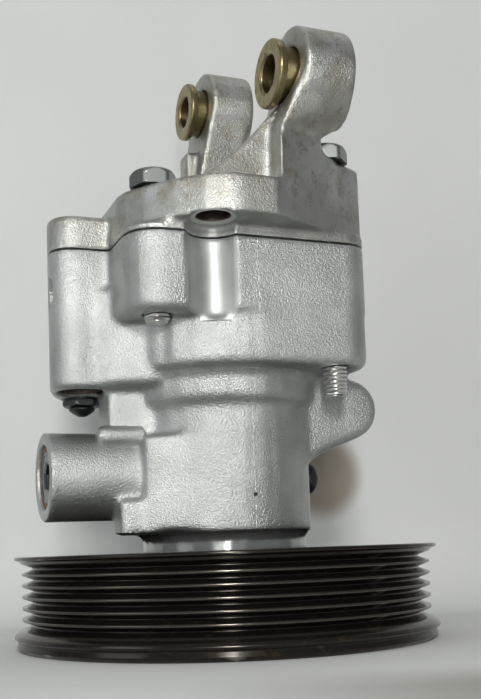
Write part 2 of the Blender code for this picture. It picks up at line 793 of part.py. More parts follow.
def housing_solid():
    """The barrel with its nose, its two steps, the bolted flange and the bosses."""
    r1, r2, r3, f = BARREL_RADIUS, LOWER_STEP_RADIUS, UPPER_STEP_RADIUS, STEP_ROUND
    profile = [
        (0, FLANGE_START + OVERLAP),
        (r3, FLANGE_START + OVERLAP),
        (r3, UPPER_STEP + 2 * f),
        (r3 - f / 2, UPPER_STEP + f / 2),
        (r3 - 2 * f, UPPER_STEP),
        (r2 + f, UPPER_STEP - f),
        (r2, UPPER_STEP - 2 * f),
        (r2, LOWER_STEP + f),
        (r2 - f / 2, LOWER_STEP),
        (r1 + f / 2, LOWER_STEP - f),
        (r1, LOWER_STEP - 2 * f),
        (r1, BARREL_START + 0.4),
        (r1 - 0.4, BARREL_START),
        (NOSE_RADIUS, BARREL_START - 1.4),
        (NOSE_RADIUS, NOSE_START + 0.8),
        (NOSE_RADIUS - 0.8, NOSE_START),
        (0, NOSE_START),
    ]
    body = turned("barrel_section", profile, steps=FINE)
    as_part(body, "housing", CAST)
    flange = plate(
        "flange_plan", [rounded(flange_corners())], FLANGE_START, JOINT_PLANE, low_round=CASTING_ROUND
    )
    right_plan = [
        (0, HALF_DEPTH - 1, 0),
        (0, 1 - HALF_DEPTH, 0),
        (RIGHT_SIDE - 0.2, 0.2 - HALF_DEPTH, RIGHT_CORNER),
        (RIGHT_SIDE - 0.2, HALF_DEPTH - 0.2, RIGHT_CORNER),
    ]
    inside = (FLANGE_START + JOINT_PLANE) / 2
    right = plate(
        "right_block_plan", [rounded(right_plan)], UPPER_STEP, inside, low_round=CASTING_ROUND
    )
    ports = plate(
        "port_block_plan", [rounded(block_corners(-BARREL_RADIUS))], BLOCK_START, JOINT_PLANE, low_round=1.0
    )
    web_plan = [
        (BLOCK_SIDE + BLOCK_CORNER + 4, BLOCK_FRONT + 0.4, 0),
        (-BARREL_RADIUS - 1, WEB_FRONT, 0),
        (-BARREL_RADIUS / 2, WEB_FRONT, 0),
        (-BARREL_RADIUS / 2, BLOCK_BACK - 1, 0),
        (BLOCK_SIDE + BLOCK_CORNER + 4, BLOCK_BACK - 1, 0),
    ]
    web = plate("port_web_plan", [rounded(web_plan)], BLOCK_START + 0.6, inside - OVERLAP, low_round=2.0)
    boss = rod("valve_boss", VALVE_BOSS_RADIUS, VALVE_END, 0, "X", (0, VALVE_Z), FINE)
    join(body, flange, right, ports, web, boss)
    join(body, *valve_boss_webs(), tongue())
    return body


def valve_boss_webs():
    """The pad, neck and foot that tie the valve boss to the casting around it."""
    half = PAD_HALF_DEPTH
    pad = block("boss_pad", (PAD_LEFT, -half, VALVE_Z), (PAD_RIGHT, half, PAD_TOP), 2.0)
    neck_low = (PAD_LEFT, -half + 1, VALVE_Z)
    neck = block("boss_neck", neck_low, (PAD_LEFT + NECK_WIDTH, half - 1, BLOCK_START + 3), 1.0)
    foot_low = (FOOT_LEFT, -FOOT_HALF_DEPTH, BARREL_START)
    foot = block("boss_foot", foot_low, (0, FOOT_HALF_DEPTH, FOOT_TOP), 0.8)
    return pad, neck, foot


def tongue():
    """The rounded boss on the right, with its long sloping lower edge."""
    outline = [(TONGUE_ROOT_X, TONGUE_ROOT_Z)]
    away = Vector((TONGUE_X - TONGUE_ROOT_X, TONGUE_Z - TONGUE_ROOT_Z))
    slope = math.atan2(away.y, away.x) - math.asin(TONGUE_RADIUS / away.length)
    first = slope - math.pi / 2
    for step in range(9):
        angle = first + (math.pi / 2 - first) * step / 8
        x = TONGUE_X + TONGUE_RADIUS * math.cos(angle)
        outline.append((x, TONGUE_Z + TONGUE_RADIUS * math.sin(angle)))
    outline += [(TONGUE_X - 4, UPPER_STEP + 4), (TONGUE_ROOT_X, UPPER_STEP + 4)]
    return plate("tongue_side", [outline], TONGUE_FRONT, TONGUE_BACK, "Y", 2.4, 2.4)


def housing():
    body = housing_solid()
    bore = SHAFT_BORE + BUSH_WALL + GAP
    ring = BEARING_RADIUS + RING_GROOVE_DEPTH
    seat = BEARING_RADIUS + GAP
    low = NOSE_START + RING_GROOVE_DEPTH - 2 * GAP
    profile = [
        (0, JOINT_PLANE + BEYOND),
        (CAVITY_RADIUS, JOINT_PLANE + BEYOND),
        (CAVITY_RADIUS, CAVITY_FLOOR),
        (SHAFT_BORE + GAP, CAVITY_FLOOR),
        (SHAFT_BORE + GAP, BUSH_START + BUSH_LENGTH + GAP),
        (bore, BUSH_START + BUSH_LENGTH + GAP),
        (bore, SEAL_END + GAP),
        (SEAL_RADIUS + GAP, SEAL_END + GAP),
        (SEAL_RADIUS + GAP, BEARING_END + GAP),
        (seat, BEARING_END + GAP),
        (seat, low + RING_THICKNESS + 2 * GAP),
        (ring, low + RING_THICKNESS + 2 * GAP),
        (ring, low),
        (seat, low),
        (seat, NOSE_START - BEYOND),
        (0, NOSE_START - BEYOND),
    ]
    carve(body, turned("housing_bores", profile, steps=FINE, spin=0.05))
    wire = RING_WIRE + GAP
    groove = tube_profile(
        COVER_RING_CIRCLE - wire, COVER_RING_CIRCLE + wire, JOINT_PLANE - 2 * RING_WIRE, JOINT_PLANE + BEYOND
    )
    carve(body, turned("cover_ring_groove", groove, steps=FINE, closed=True, spin=0.02))
    carve(body, *bolt_holes("housing", LOWER_STEP - BEYOND, JOINT_PLANE + BEYOND))
    carve(body, relief("housing_relief"), *dowel_holes("housing"))
    carve(body, valve_bore())
    low, high = BLOCK_START - BEYOND, BLOCK_START + PORT_DEPTH
    port = rod("suction_port", PORT_RADIUS, low, high, across=(PORT_X, 0))
    side = rod(
        "side_port",
        SIDE_HOLE_RADIUS,
        BLOCK_SIDE - BEYOND,
        BLOCK_SIDE + SIDE_HOLE_DEPTH,
        "X",
        (SIDE_HOLE_Y, SIDE_HOLE_Z),
        SMALL,
    )
    union = rod(
        "union_seat",
        UNION_SHANK + GAP,
        BLOCK_START - BEYOND,
        BLOCK_START + UNION_SHANK_LENGTH + GAP,
        across=(UNION_X, UNION_Y),
        sides=SMALL,
    )
    deep = BARREL_RADIUS - DOME_SHANK_LENGTH - GAP
    blank = rod("blanking_seat", DOME_SHANK + GAP, deep, BARREL_RADIUS + BEYOND, "X", (0, DOME_Z), SMALL)
    carve(body, port, side, union, blank)


def valve_bore():
    """The valve's stepped bore, along X: the plug's seat outside, the spool's bore inside."""
    head = PLUG_HEAD + PLUG_RECESS + GAP
    profile = [
        (0, VALVE_BORE_END - VALVE_END),
        (VALVE_BORE, VALVE_BORE_END - VALVE_END),
        (VALVE_BORE, head + PLUG_BODY + GAP),
        (PLUG_BODY_RADIUS + GAP, head + PLUG_BODY + GAP),
        (PLUG_BODY_RADIUS + GAP, head),
        (PLUG_RADIUS + GAP, head),
        (PLUG_RADIUS + GAP, -BEYOND),
        (0, -BEYOND),
    ]
    return turned("valve_bore_section", profile, "X", (0, VALVE_Z), VALVE_END)


def valve_parts():
    plug = [
        (0, PLUG_HEAD + PLUG_BODY),
        (PLUG_BODY_RADIUS, PLUG_HEAD + PLUG_BODY),
        (PLUG_BODY_RADIUS, PLUG_HEAD - OVERLAP),
        (PLUG_RADIUS, PLUG_HEAD - OVERLAP),
        (PLUG_RADIUS, 0.8),
        (PLUG_RADIUS - 0.8, 0),
        (0, 0),
    ]
    body = turned("plug_section", plug, "X", (0, VALVE_Z), PLUG_START)
    as_part(body, "valve_plug", ZINC)
    stem_end = SPOOL_START - GAP
    join(
        body,
        rod("plug_stem", PLUG_STEM_RADIUS, PLUG_START + PLUG_HEAD, stem_end, "X", (0, VALVE_Z), TINY),
    )
    socket_end = PLUG_START + SOCKET_DEPTH
    carve(body, hexagon("plug_socket", SOCKET_ACROSS, PLUG_START - BEYOND, socket_end, "X", (0, VALVE_Z)))
    ring = ring_of((PLUG_BODY_RADIUS + PLUG_RADIUS + GAP) / 2, PLUG_RING_WIRE, 0)
    seat = PLUG_START + PLUG_HEAD + (GAP - OVERLAP) / 2
    as_part(
        turned("plug_ring_section", ring, "X", (0, VALVE_Z), seat, closed=True), "valve_plug_o_ring", RUBBER
    )
    edge = SPOOL_LENGTH
    spool = [
        (0, edge),
        (SPOOL_RADIUS, edge),
        (SPOOL_RADIUS, edge - SPOOL_LAND),
        (SPOOL_WAIST, edge - SPOOL_LAND),
        (SPOOL_WAIST, SPOOL_LAND),
        (SPOOL_RADIUS, SPOOL_LAND),
        (SPOOL_RADIUS, 0),
        (0, 0),
    ]
    as_part(turned("spool_section", spool, "X", (0, VALVE_Z), SPOOL_START), "valve_spool", STEEL)
    valve_spring()


def valve_spring():
    """A helix along X, from the spool to the end of the bore."""
    curve = bpy.data.curves.new("valve_spring", "CURVE")
    curve.dimensions = "3D"
    curve.bevel_depth = SPRING_WIRE * MM
    curve.bevel_resolution = 1
    curve.use_fill_caps = True
    per_turn = TINY
    count = SPRING_TURNS * per_turn
    rise = SPRING_LENGTH - 2 * SPRING_WIRE
    spline = curve.splines.new("POLY")
    spline.points.add(count)
    for i, point in enumerate(spline.points):
        angle = 2 * math.pi * i / per_turn
        x = SPRING_START + SPRING_WIRE + rise * i / count
        y = SPRING_RADIUS * math.cos(angle)
        z = VALVE_Z + SPRING_RADIUS * math.sin(angle)
        point.co = (x * MM, y * MM, z * MM, 1.0)
    spring = add(bpy.data.objects.new("valve_spring", curve), PARTS)
    curve.materials.append(finish("valve_spring_steel", *STEEL[1:]))
    return spring


def small_fittings():
    """The blanking plug on the right, and the return union with its cap on the left."""
    height, foot = DOME_HEIGHT, BARREL_RADIUS + GAP
    dome = [(0, height)]
    for step in range(1, 5):
        angle = math.pi / 2 * (1 - step / 4)
        x = DOME_RADIUS * math.cos(angle)
        dome.append((x, height * 0.3 + height * 0.7 * math.sin(angle)))
    dome += [(DOME_RADIUS, 0), (DOME_SHANK, 0), (DOME_SHANK, -DOME_SHANK_LENGTH), (0, -DOME_SHANK_LENGTH)]
    as_part(turned("dome_section", dome, "X", (0, DOME_Z), foot, SMALL), "passage_plug", PLASTIC)
    foot = BLOCK_START - GAP - UNION_HEX
    at = (UNION_X, UNION_Y)
    union = hexagon("union_hexagon", UNION_ACROSS, foot, foot + UNION_HEX, at=at)
    as_part(union, "return_union", ZINC)
    end = BLOCK_START + UNION_SHANK_LENGTH
    join(union, rod("union_shank", UNION_SHANK, foot + 1, end, across=at, sides=SMALL))
    carve(union, rod("union_bore", UNION_BORE, foot - BEYOND, end + BEYOND, across=at, sides=TINY))
    top = foot - GAP
    stem = UNION_BORE - GAP
    cap = [
        (0, top + CAP_STEM_LENGTH),
        (stem, top + CAP_STEM_LENGTH),
        (stem, top),
        (CAP_RADIUS, top),
        (CAP_RADIUS, top - CAP_HEIGHT + 1),
        (CAP_RADIUS - 1, top - CAP_HEIGHT),
        (0, top - CAP_HEIGHT),
    ]
    as_part(turned("cap_section", cap, at=at, steps=SMALL), "union_cap", PLASTIC)


def dowel_holes(name):
    radius = DOWEL_RADIUS + GAP
    low = CAVITY_FLOOR - DOWEL_BITE - GAP
    high = COVER_START + DOWEL_BITE + GAP
    sides = (-1, 1)
    return [
        rod(f"{name}_dowel_hole_{i + 1}", radius, low, high, "Z", (0, s * DOWEL_CIRCLE), TINY, None, 0.1)
        for i, s in enumerate(sides)
    ]


def pumping_set():
    """Two side plates with the cam ring between them, on two dowels, and the seals."""
    outer = CAVITY_RADIUS - GAP
    groove = SIDE_RING_WIRE * 2
    middle = FRONT_PLATE_START + PLATE_THICKNESS / 2
    depth = outer - groove
    front = [
        (outer, FRONT_PLATE_START + PLATE_THICKNESS),
        (outer, middle + groove / 2 + GAP),
        (depth, middle + groove / 2 + GAP),
        (depth, middle - groove / 2 - GAP),
        (outer, middle - groove / 2 - GAP),
        (outer, FRONT_PLATE_START),
        (SHAFT_BORE + GAP, FRONT_PLATE_START),
        (SHAFT_BORE + GAP, FRONT_PLATE_START + PLATE_THICKNESS),
    ]
    plate_low = turned("front_plate_section", front, steps=FINE, closed=True)
    as_part(plate_low, "front_side_plate", STEEL)
    carve(plate_low, *dowel_holes("front_plate"), *kidney_ports("front", middle, 1))
    rear_top = JOINT_PLANE - GAP
    rear = tube_profile(PLATE_BORE, outer, REAR_PLATE_START, rear_top)
    plate_high = turned("rear_plate_section", rear, steps=FINE, closed=True)
    as_part(plate_high, "rear_side_plate", STEEL)
    carve(plate_high, *dowel_holes("rear_plate"), *kidney_ports("rear", REAR_PLATE_START, -1))
    ring_bore = round_outline(cam_radius, 2 * COARSE)
    ring_rim = round_outline(lambda angle: outer, 2 * COARSE)
    ring = plate("cam_ring_plan", [ring_rim, ring_bore], CAM_START, CAM_START + RING_WIDTH)
    as_part(ring, "cam_ring", STEEL)
    carve(ring, *dowel_holes("cam_ring"))
    for i, side in enumerate((-1, 1)):
        pin = rod(
            f"dowel_bar_{i + 1}",
            DOWEL_RADIUS,
            CAVITY_FLOOR - DOWEL_BITE,
            COVER_START + DOWEL_BITE,
            across=(0, side * DOWEL_CIRCLE),
            sides=TINY,
            spin=0.1,
        )
        as_part(pin, f"dowel_pin_{i + 1}", STEEL)
    side_ring = ring_of(outer - SIDE_RING_WIRE + GAP / 2, SIDE_RING_WIRE - GAP / 2, middle)
    as_part(turned("plate_ring", side_ring, steps=FINE, closed=True), "side_plate_o_ring", RUBBER)
    cover_ring = ring_of(COVER_RING_CIRCLE, RING_WIRE, JOINT_PLANE - RING_WIRE + GAP / 2)
    as_part(turned("cover_ring", cover_ring, steps=FINE, closed=True), "cover_o_ring", RUBBER)


def kidney_ports(name, middle, side):
    """Two arc-shaped ports, where oil leaves the vane spaces."""
    cutters = []
    for i, start in enumerate((math.radians(20), math.radians(200))):
        turns = [start + math.radians(50) * k / 6 for k in range(7)]
        circle = (ROTOR_RADIUS + PLATE_BORE) / 2 + PORT_SLOT_RADIUS
        far, near = circle + PORT_SLOT_RADIUS, circle - PORT_SLOT_RADIUS
        outline = [(far * math.cos(a), far * math.sin(a)) for a in turns]
        outline += [(near * math.cos(a), near * math.sin(a)) for a in reversed(turns)]
        low = middle + GAP + PORT_SLOT_RADIUS if side > 0 else middle - BEYOND
        high = CAM_START + BEYOND if side > 0 else middle + PLATE_THICKNESS / 2
        cutters.append(plate(f"{name}_port_{i + 1}", [outline], low, high))
    return cutters


def rotor():
    """The slotted rotor on the shaft's spline, with a vane in each slot."""
    slot_floor = ROTOR_RADIUS - VANE_DEPTH - SLOT_ROOM
    half = VANE_THICKNESS / 2 + GAP
    reach = math.asin(half / ROTOR_RADIUS)
    pitch = 2 * math.pi / VANE_COUNT
    outline = []
    for vane in range(VANE_COUNT):
        middle = vane * pitch
        out, side = (math.cos(middle), math.sin(middle)), (-math.sin(middle), math.cos(middle))
        for edge in (-half, half):
            outline.append((out[0] * slot_floor + side[0] * edge, out[1] * slot_floor + side[1] * edge))
        for share in range(4):
            angle = middle + reach + (pitch - 2 * reach) * share / 3
            outline.append((ROTOR_RADIUS * math.cos(angle), ROTOR_RADIUS * math.sin(angle)))
    bore = spline_outline(SPLINE_RADIUS + GAP)
    wheel = plate("rotor_plan", [outline, bore], ROTOR_START, ROTOR_START + ROTOR_WIDTH)
    as_part(wheel, "rotor", STEEL)
    low = (-VANE_DEPTH, -VANE_THICKNESS / 2, -ROTOR_WIDTH / 2)
    high = (0, VANE_THICKNESS / 2, ROTOR_WIDTH / 2)
    vane = as_part(block("vane_blade", low, high), "vane_1", STEEL)
    for i in range(VANE_COUNT):
        angle = i * pitch
        tip = ROTOR_RADIUS
        place = (tip * math.cos(angle), tip * math.sin(angle), ROTOR_START + ROTOR_WIDTH / 2)
        if i:
            copy_of(vane, f"vane_{i + 1}", STEEL, place, angle)
        else:
            vane.location = Vector(place) * MM
    inner = SHAFT_RADIUS - CIRCLIP_GROOVE_DEPTH + GAP
    retaining_ring("rotor_circlip", inner, CIRCLIP_RADIUS, CIRCLIP_START, CIRCLIP_THICKNESS)


def overhang_outline():
    """The cover's plan above the ledge: the flange's corners, pushed out front and back."""
    front = OVERHANG_FRONT
    side = [
        (RIGHT_SIDE + COVER_LIP, -OVERHANG_BACK, 2.0),
        (OVERHANG_RIGHT, -front, 0),
        (OVERHANG_LEFT, -front, 16.0),
        (LEFT_SIDE + COVER_LIP, -OVERHANG_SIDE, 5.0),
    ]
    back = [(x, -y, radius) for x, y, radius in reversed(side)]
    return rounded(side[::-1] + back[::-1])


def ear(name, y, z):
    """A cross-drilled boss on a column that narrows to a waist and widens to the cover."""
    boss = rod(f"{name}_boss", EAR_RADIUS, EAR_LEFT, EAR_RIGHT, "X", (y, z), FINE, spin=0.05)
    side = math.copysign(1, y)
    outer = OVERHANG_FRONT - 1.0
    inner = side * (OVERHANG_FRONT - 2 * COLUMN_HALF)
    slant = (OVERHANG_FRONT - OVERHANG_BACK) / (RIGHT_SIDE - OVERHANG_RIGHT)
    waist = [
        (COLUMN_LEFT, side * outer),
        (COLUMN_RIGHT, side * (outer - (COLUMN_RIGHT - COLUMN_LEFT) * slant)),
        (COLUMN_RIGHT, inner),
        (COLUMN_LEFT, inner),
    ]
    turns = [math.pi * (1 + i / 8) for i in range(9)]
    inset = EAR_RADIUS - COLUMN_INSET
    grip = [
        (x, y + inset * math.cos(a), z + inset * math.sin(a))
        for x in (EAR_LEFT + COLUMN_INSET, EAR_RIGHT - COLUMN_INSET)
        for a in turns
    ]
    upper = hull(f"{name}_column", [(*p, COLUMN_WAIST - OVERLAP) for p in waist] + grip)
    base = [
        (OVERHANG_RIGHT + 0.6, side * (outer + 0.3)),
        (ROOT_RIGHT, side * (outer + 0.3 - (ROOT_RIGHT - OVERHANG_RIGHT) * slant)),
        (ROOT_RIGHT, inner),
        (OVERHANG_RIGHT + 0.6, inner),
    ]
    top = [(*p, COLUMN_WAIST + OVERLAP) for p in waist]
    lower = hull(f"{name}_root", top + [(*p, COVER_TOP - 8) for p in base])
    return boss, upper, lower


def near_rib():
    """The curved web that runs from the cover's left up to the near column."""
    outline = [(RIB_LEFT, COVER_TOP - OVERLAP)]
    for step in range(9):
        share = step / 8
        x = RIB_LEFT + (COLUMN_LEFT + 3 - RIB_LEFT) * share
        rise = (RIB_TOP + 4 - COVER_TOP) * (0.45 * share + 0.55 * share**2)
        outline.append((x, COVER_TOP + rise))
    outline.append((COLUMN_LEFT + 3, COVER_TOP - OVERLAP))
    low = NEAR_EAR_Y + EAR_RADIUS * 0.1
    return plate("near_rib_side", [outline], low, low + RIB_THICKNESS, "Y")


def far_rib():
    """The shorter web inside the far column, and the step on the column's left."""
    outline = [
        (COLUMN_LEFT - 16, COVER_TOP - OVERLAP),
        (COLUMN_LEFT - 3, COVER_TOP + 15),
        (COLUMN_LEFT + 3, COVER_TOP + 30),
        (COLUMN_LEFT + 3, COVER_TOP - OVERLAP),
    ]
    web = plate("far_rib_side", [outline], FAR_EAR_Y - RIB_THICKNESS / 2, FAR_EAR_Y + RIB_THICKNESS / 2, "Y")
    low = (COLUMN_LEFT - 1.7, FAR_EAR_Y - 3.4, COVER_TOP - 2 * OVERLAP)
    high = (COLUMN_LEFT + 6, FAR_EAR_Y + 5.4, STEP_TOP)
    return web, block("far_step", low, high, 1.0)


def cover_table():
    """What is cleared above the cover's top, so that only the two shoulders stand up."""
    wide = OVERHANG_FRONT + BEYOND
    corners = [
        (LEFT_SIDE - BEYOND, -wide, 0),
        (SHOULDER_LEFT, -wide, 0),
        (SHOULDER_LEFT, -SHOULDER_INNER, 4.0),
        (RIGHT_SIDE + BEYOND, -SHOULDER_INNER, 0),
        (RIGHT_SIDE + BEYOND, SHOULDER_INNER, 0),
        (SHOULDER_LEFT, SHOULDER_INNER, 4.0),
        (SHOULDER_LEFT, wide, 0),
        (LEFT_SIDE - BEYOND, wide, 0),
    ]
    return plate("table_plan", [rounded(corners)], COVER_TOP, SHOULDER_TOP + BEYOND)


def cover():
    slab = plate("cover_plan", [overhang_outline()], LEDGE, SHOULDER_TOP, high_round=COVER_ROUND)
    as_part(slab, "rear_cover", COVER_CAST)
    carve(slab, cover_table())
    skirt = plate("skirt_plan", [rounded(flange_corners())], COVER_START, LEDGE + OVERLAP)
    lobe = plate(
        "lobe_plan", [rounded(block_corners(LEFT_SIDE + 8))], COVER_START, LOBE_TOP, high_round=2.0
    )
    join(slab, skirt, lobe)
    join(slab, *ear("near", NEAR_EAR_Y, NEAR_EAR_Z), near_rib())
    join(slab, *ear("far", FAR_EAR_Y, FAR_EAR_Z), *far_rib())
    for name, y, z in (("near", NEAR_EAR_Y, NEAR_EAR_Z), ("far", FAR_EAR_Y, FAR_EAR_Z)):
        bore = BUSH_NECK_RADIUS + GAP
        carve(slab, rod(f"{name}_ear_bore", bore, -BEYOND, EAR_RIGHT + BEYOND, "X", (y, z)))
    carve(slab, *bolt_holes("cover", COVER_START - BEYOND, SHOULDER_TOP + BEYOND))
    carve(slab, relief("cover_relief"), *dowel_holes("cover"))
    hole_top = LEDGE + BRACKET_HOLE_DEPTH
    bracket = rod(
        "bracket_hole", BRACKET_HOLE_RADIUS, LEDGE - 2, hole_top, across=(RELIEF_X, RELIEF_Y), sides=COARSE
    )
    journal = JOURNAL_RADIUS + GAP + REAR_BUSH_WALL + GAP
    rear = rod("rear_bearing_bore", journal, COVER_START - BEYOND, REAR_BORE_END)
    carve(slab, bracket, rear)


def mounting_bushes():
    """Flanged sleeves pressed into the ears from the left."""
    flange_end = FLANGE_FACE + BUSH_FLANGE_THICKNESS
    section = [
        (BUSH_NECK_RADIUS, EAR_RIGHT - 0.4),
        (BUSH_NECK_RADIUS, flange_end),
        (BUSH_FLANGE_RADIUS, flange_end),
        (BUSH_FLANGE_RADIUS, FLANGE_FACE + 0.4),
        (BUSH_FLANGE_RADIUS - 0.4, FLANGE_FACE),
        (BUSH_BORE, FLANGE_FACE),
        (BUSH_BORE, EAR_RIGHT - 0.4),
    ]
    for name, y, z in (("near", NEAR_EAR_Y, NEAR_EAR_Z), ("far", FAR_EAR_Y, FAR_EAR_Z)):
        sleeve = turned(f"{name}_bush_section", section, "X", (y, z), closed=True)
        as_part(sleeve, f"mount_bush_{name}", YELLOW)


def cover_bolts():
    """Four hexagon bolts. The head's corners are cut by a cone, as on a forged head."""
    for i, (x, y, seat, end) in enumerate(bolt_places()):
        low, high = seat + GAP, seat + GAP + HEAD_HEIGHT
        spin = math.radians(12 + 31 * i)
        head = hexagon(f"bolt_hexagon_{i + 1}", HEAD_ACROSS, low, high, at=(x, y), spin=spin)
        as_part(head, f"cover_bolt_{i + 1}", ZINC)
        corner = HEAD_ACROSS / math.sqrt(3)
        crown = [
            (0, high + 0.2),
            (corner - 2.2 * HEAD_CHAMFER, high + 0.2),
            (corner + 0.2, high - 1.6 * HEAD_CHAMFER),
            (corner + 0.2, low - OVERLAP),
            (0, low - OVERLAP),
        ]
        combine(head, "INTERSECT", [turned(f"bolt_crown_{i + 1}", crown, at=(x, y), steps=SMALL)])
        point = [
            (0, low + OVERLAP),
            (BOLT_RADIUS, low + OVERLAP),
            (BOLT_RADIUS, end + 1.0),
            (BOLT_RADIUS - 1.0, end),
            (0, end),
        ]
        join(head, turned(f"bolt_shank_{i + 1}", point, at=(x, y), steps=SMALL))


pulley()
shaft()
pulley_fixings()
bearing()
shaft_seal()
plain_bushes()
housing()
valve_parts()
small_fittings()
pumping_set()
rotor()
cover()
mounting_bushes()
cover_bolts()
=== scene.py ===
# %% [markdown]
# # A power steering pump, dressed for its portrait
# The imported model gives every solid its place. This file adds what a photograph shows:
# soft cast edges, orange-peel grain, cut threads, worn paint and stained corners.
# It stands on its pulley, with the shaft upright. Lengths here are in millimetres and
# become metres when a mesh is made.

# %% Load the frame
import math

import bmesh
import bpy
import numpy as np
from mathutils import Matrix, Vector
from mathutils.bvhtree import BVHTree


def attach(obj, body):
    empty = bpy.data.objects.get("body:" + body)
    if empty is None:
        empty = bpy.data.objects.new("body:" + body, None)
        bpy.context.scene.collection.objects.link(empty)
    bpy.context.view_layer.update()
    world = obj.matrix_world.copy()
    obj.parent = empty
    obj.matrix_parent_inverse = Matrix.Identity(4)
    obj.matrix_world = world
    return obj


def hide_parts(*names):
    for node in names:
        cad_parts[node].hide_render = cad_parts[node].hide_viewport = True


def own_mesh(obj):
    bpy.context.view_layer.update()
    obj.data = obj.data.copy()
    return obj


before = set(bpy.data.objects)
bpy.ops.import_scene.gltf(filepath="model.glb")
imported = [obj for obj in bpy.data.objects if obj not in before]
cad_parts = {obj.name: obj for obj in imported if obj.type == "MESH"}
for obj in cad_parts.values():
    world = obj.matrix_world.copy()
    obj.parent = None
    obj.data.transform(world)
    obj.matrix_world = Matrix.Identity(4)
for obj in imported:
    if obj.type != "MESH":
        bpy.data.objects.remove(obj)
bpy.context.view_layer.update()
MM = 0.001

# %% [markdown]
# A few places come back in several pieces and finishes, so they are named once. They
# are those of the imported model: the height where the two castings meet, the barrel's
# lower end, the axis of the round hole in the cover's overhang, the axis of the port
# under the side block, the union's axis, the middle of the valve plug's outer face, and
# the seat of the domed plug on the barrel.

# %% Places
JOINT_PLANE, BARREL_START = 123.1, 33.4
BRACKET_HOLE = (-15.4, -40.4)
PORT = (-47.0, 0.0)
UNION = (-44.0, 14.5)
PLUG_FACE = (-59.4, 0.0, 52.2)
DOME_SEAT = (29.4, 0.0, 51.2)
print("castings meet at", JOINT_PLANE, "and the overhang's hole is at", BRACKET_HOLE)

# %% [markdown]
# ## Surfaces on a grid
# Every new piece is a function of two parameters, worked out for a whole grid at once:
# rows run along the piece and columns run round it. One helper turns such a grid of
# points into a mesh, joins its seam and its poles, and points its faces outwards.

# %% Grid to mesh
WELD = 1e-7  # metres
SHARP = math.radians(35)


def show(name, data):
    """A new object for a mesh, a lamp or a camera, linked into the scene."""
    made = bpy.data.objects.new(name, data)
    bpy.context.scene.collection.objects.link(made)
    return made


def clean(source, target, weld, outwards=True):
    """Writes source into target with points nearer than weld metres joined, faces turned out."""
    shape = bmesh.new()
    shape.from_mesh(source)
    bmesh.ops.remove_doubles(shape, verts=shape.verts, dist=weld)
    if outwards:
        bmesh.ops.recalc_face_normals(shape, faces=shape.faces)
    shape.to_mesh(target)
    shape.free()


def grid_faces(rows, columns, wrap):
    """Quads between neighbours of a grid; wrap joins the last column to the first."""
    index = np.arange(rows * columns).reshape(rows, columns)
    right = np.roll(index, -1, axis=1) if wrap else index[:, 1:]
    left = index if wrap else index[:, :-1]
    return np.stack([left[:-1], right[:-1], right[1:], left[1:]], axis=-1).reshape(-1, 4)


def mesh_from(name, points, faces):
    """A mesh from points in millimetres and faces as lists of their numbers."""
    mesh = bpy.data.meshes.new(name)
    mesh.from_pydata((points.reshape(-1, 3) * MM).tolist(), [], faces)
    return mesh


def place(name, mesh, body):
    """Joins a mesh's seams, turns its faces outwards and hands it to a body of the frame."""
    clean(mesh, mesh, WELD)
    mesh.shade_smooth()
    mesh.set_sharp_from_angle(angle=SHARP)
    piece = show(name, mesh)
    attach(piece, body)
    return piece


def grid_mesh(name, points, body):
    """points[row, column] become quads between neighbours, closed round the columns."""
    faces = grid_faces(*points.shape[:2], wrap=True).tolist()
    return place(name, mesh_from(name, points, faces), body)


# %% [markdown]
# A lathe makes most of this pump, so the most useful surface is a turned one. The
# profile is a list of (radius, height) corners. Real corners are never sharp, so each
# is first replaced with a short curve: a quadratic one between two points that lie the
# same distance before and after the corner.

# %% Turned surfaces
def eased(profile, rounding=0.3, steps=4):
    """Each inner corner P becomes (1-t)^2 A + 2t(1-t) P + t^2 B, with A and B on its two edges."""
    p = np.asarray(profile, float)
    before, here, after = p[:-2], p[1:-1], p[2:]
    reach = [np.linalg.norm(q - here, axis=1, keepdims=True) for q in (before, after)]
    cut = np.minimum(rounding, 0.45 * np.minimum(*reach))
    a = here + (before - here) * cut / reach[0]
    b = here + (after - here) * cut / reach[1]
    t = np.linspace(0, 1, steps)[None, :, None]
    curve = (1 - t) ** 2 * a[:, None] + 2 * t * (1 - t) * here[:, None] + t**2 * b[:, None]
    return np.vstack([p[:1], curve.reshape(-1, 2), p[-1:]])


def round_angles(steps):
    """The angles of one row's points, evenly spaced once round."""
    return np.linspace(0, 2 * math.pi, steps, endpoint=False)[None, :]


def swept(radius, height, angle):
    """Points at radius times (cos, sin) of the angle, at height, for every row and column."""
    parts = radius * np.cos(angle), radius * np.sin(angle), height
    return np.stack(np.broadcast_arrays(*parts), axis=-1)


def along(points, axis, at):
    """Lays points that were built round +Z round another axis, with their zero at at."""
    x, y, z = np.moveaxis(points, -1, 0)
    turned_points = {"Z": (x, y, z), "X": (z, x, y), "Y": (x, z, y)}[axis]
    return np.stack(turned_points, axis=-1) + np.asarray(at, float)


def turned(name, profile, body, axis="Z", at=(0, 0, 0), steps=96, rounding=0.3):
    """radius(row) times (cos, sin) of the column's angle, at height(row)."""
    rz = eased(profile, rounding)
    grid = swept(rz[:, :1], rz[:, 1:], round_angles(steps))
    return grid_mesh(name, along(grid, axis, at), body)


# %% [markdown]
# ## Shared effects
# Several finishes need the same few effects: a fine grain, bright worn edges, stains
# and the rings that a lathe leaves. Each is a node group, built once, that puts out a
# mask or a height. Materials place it with their own values. A few helpers keep the
# building of nodes as short as the sums they stand for.

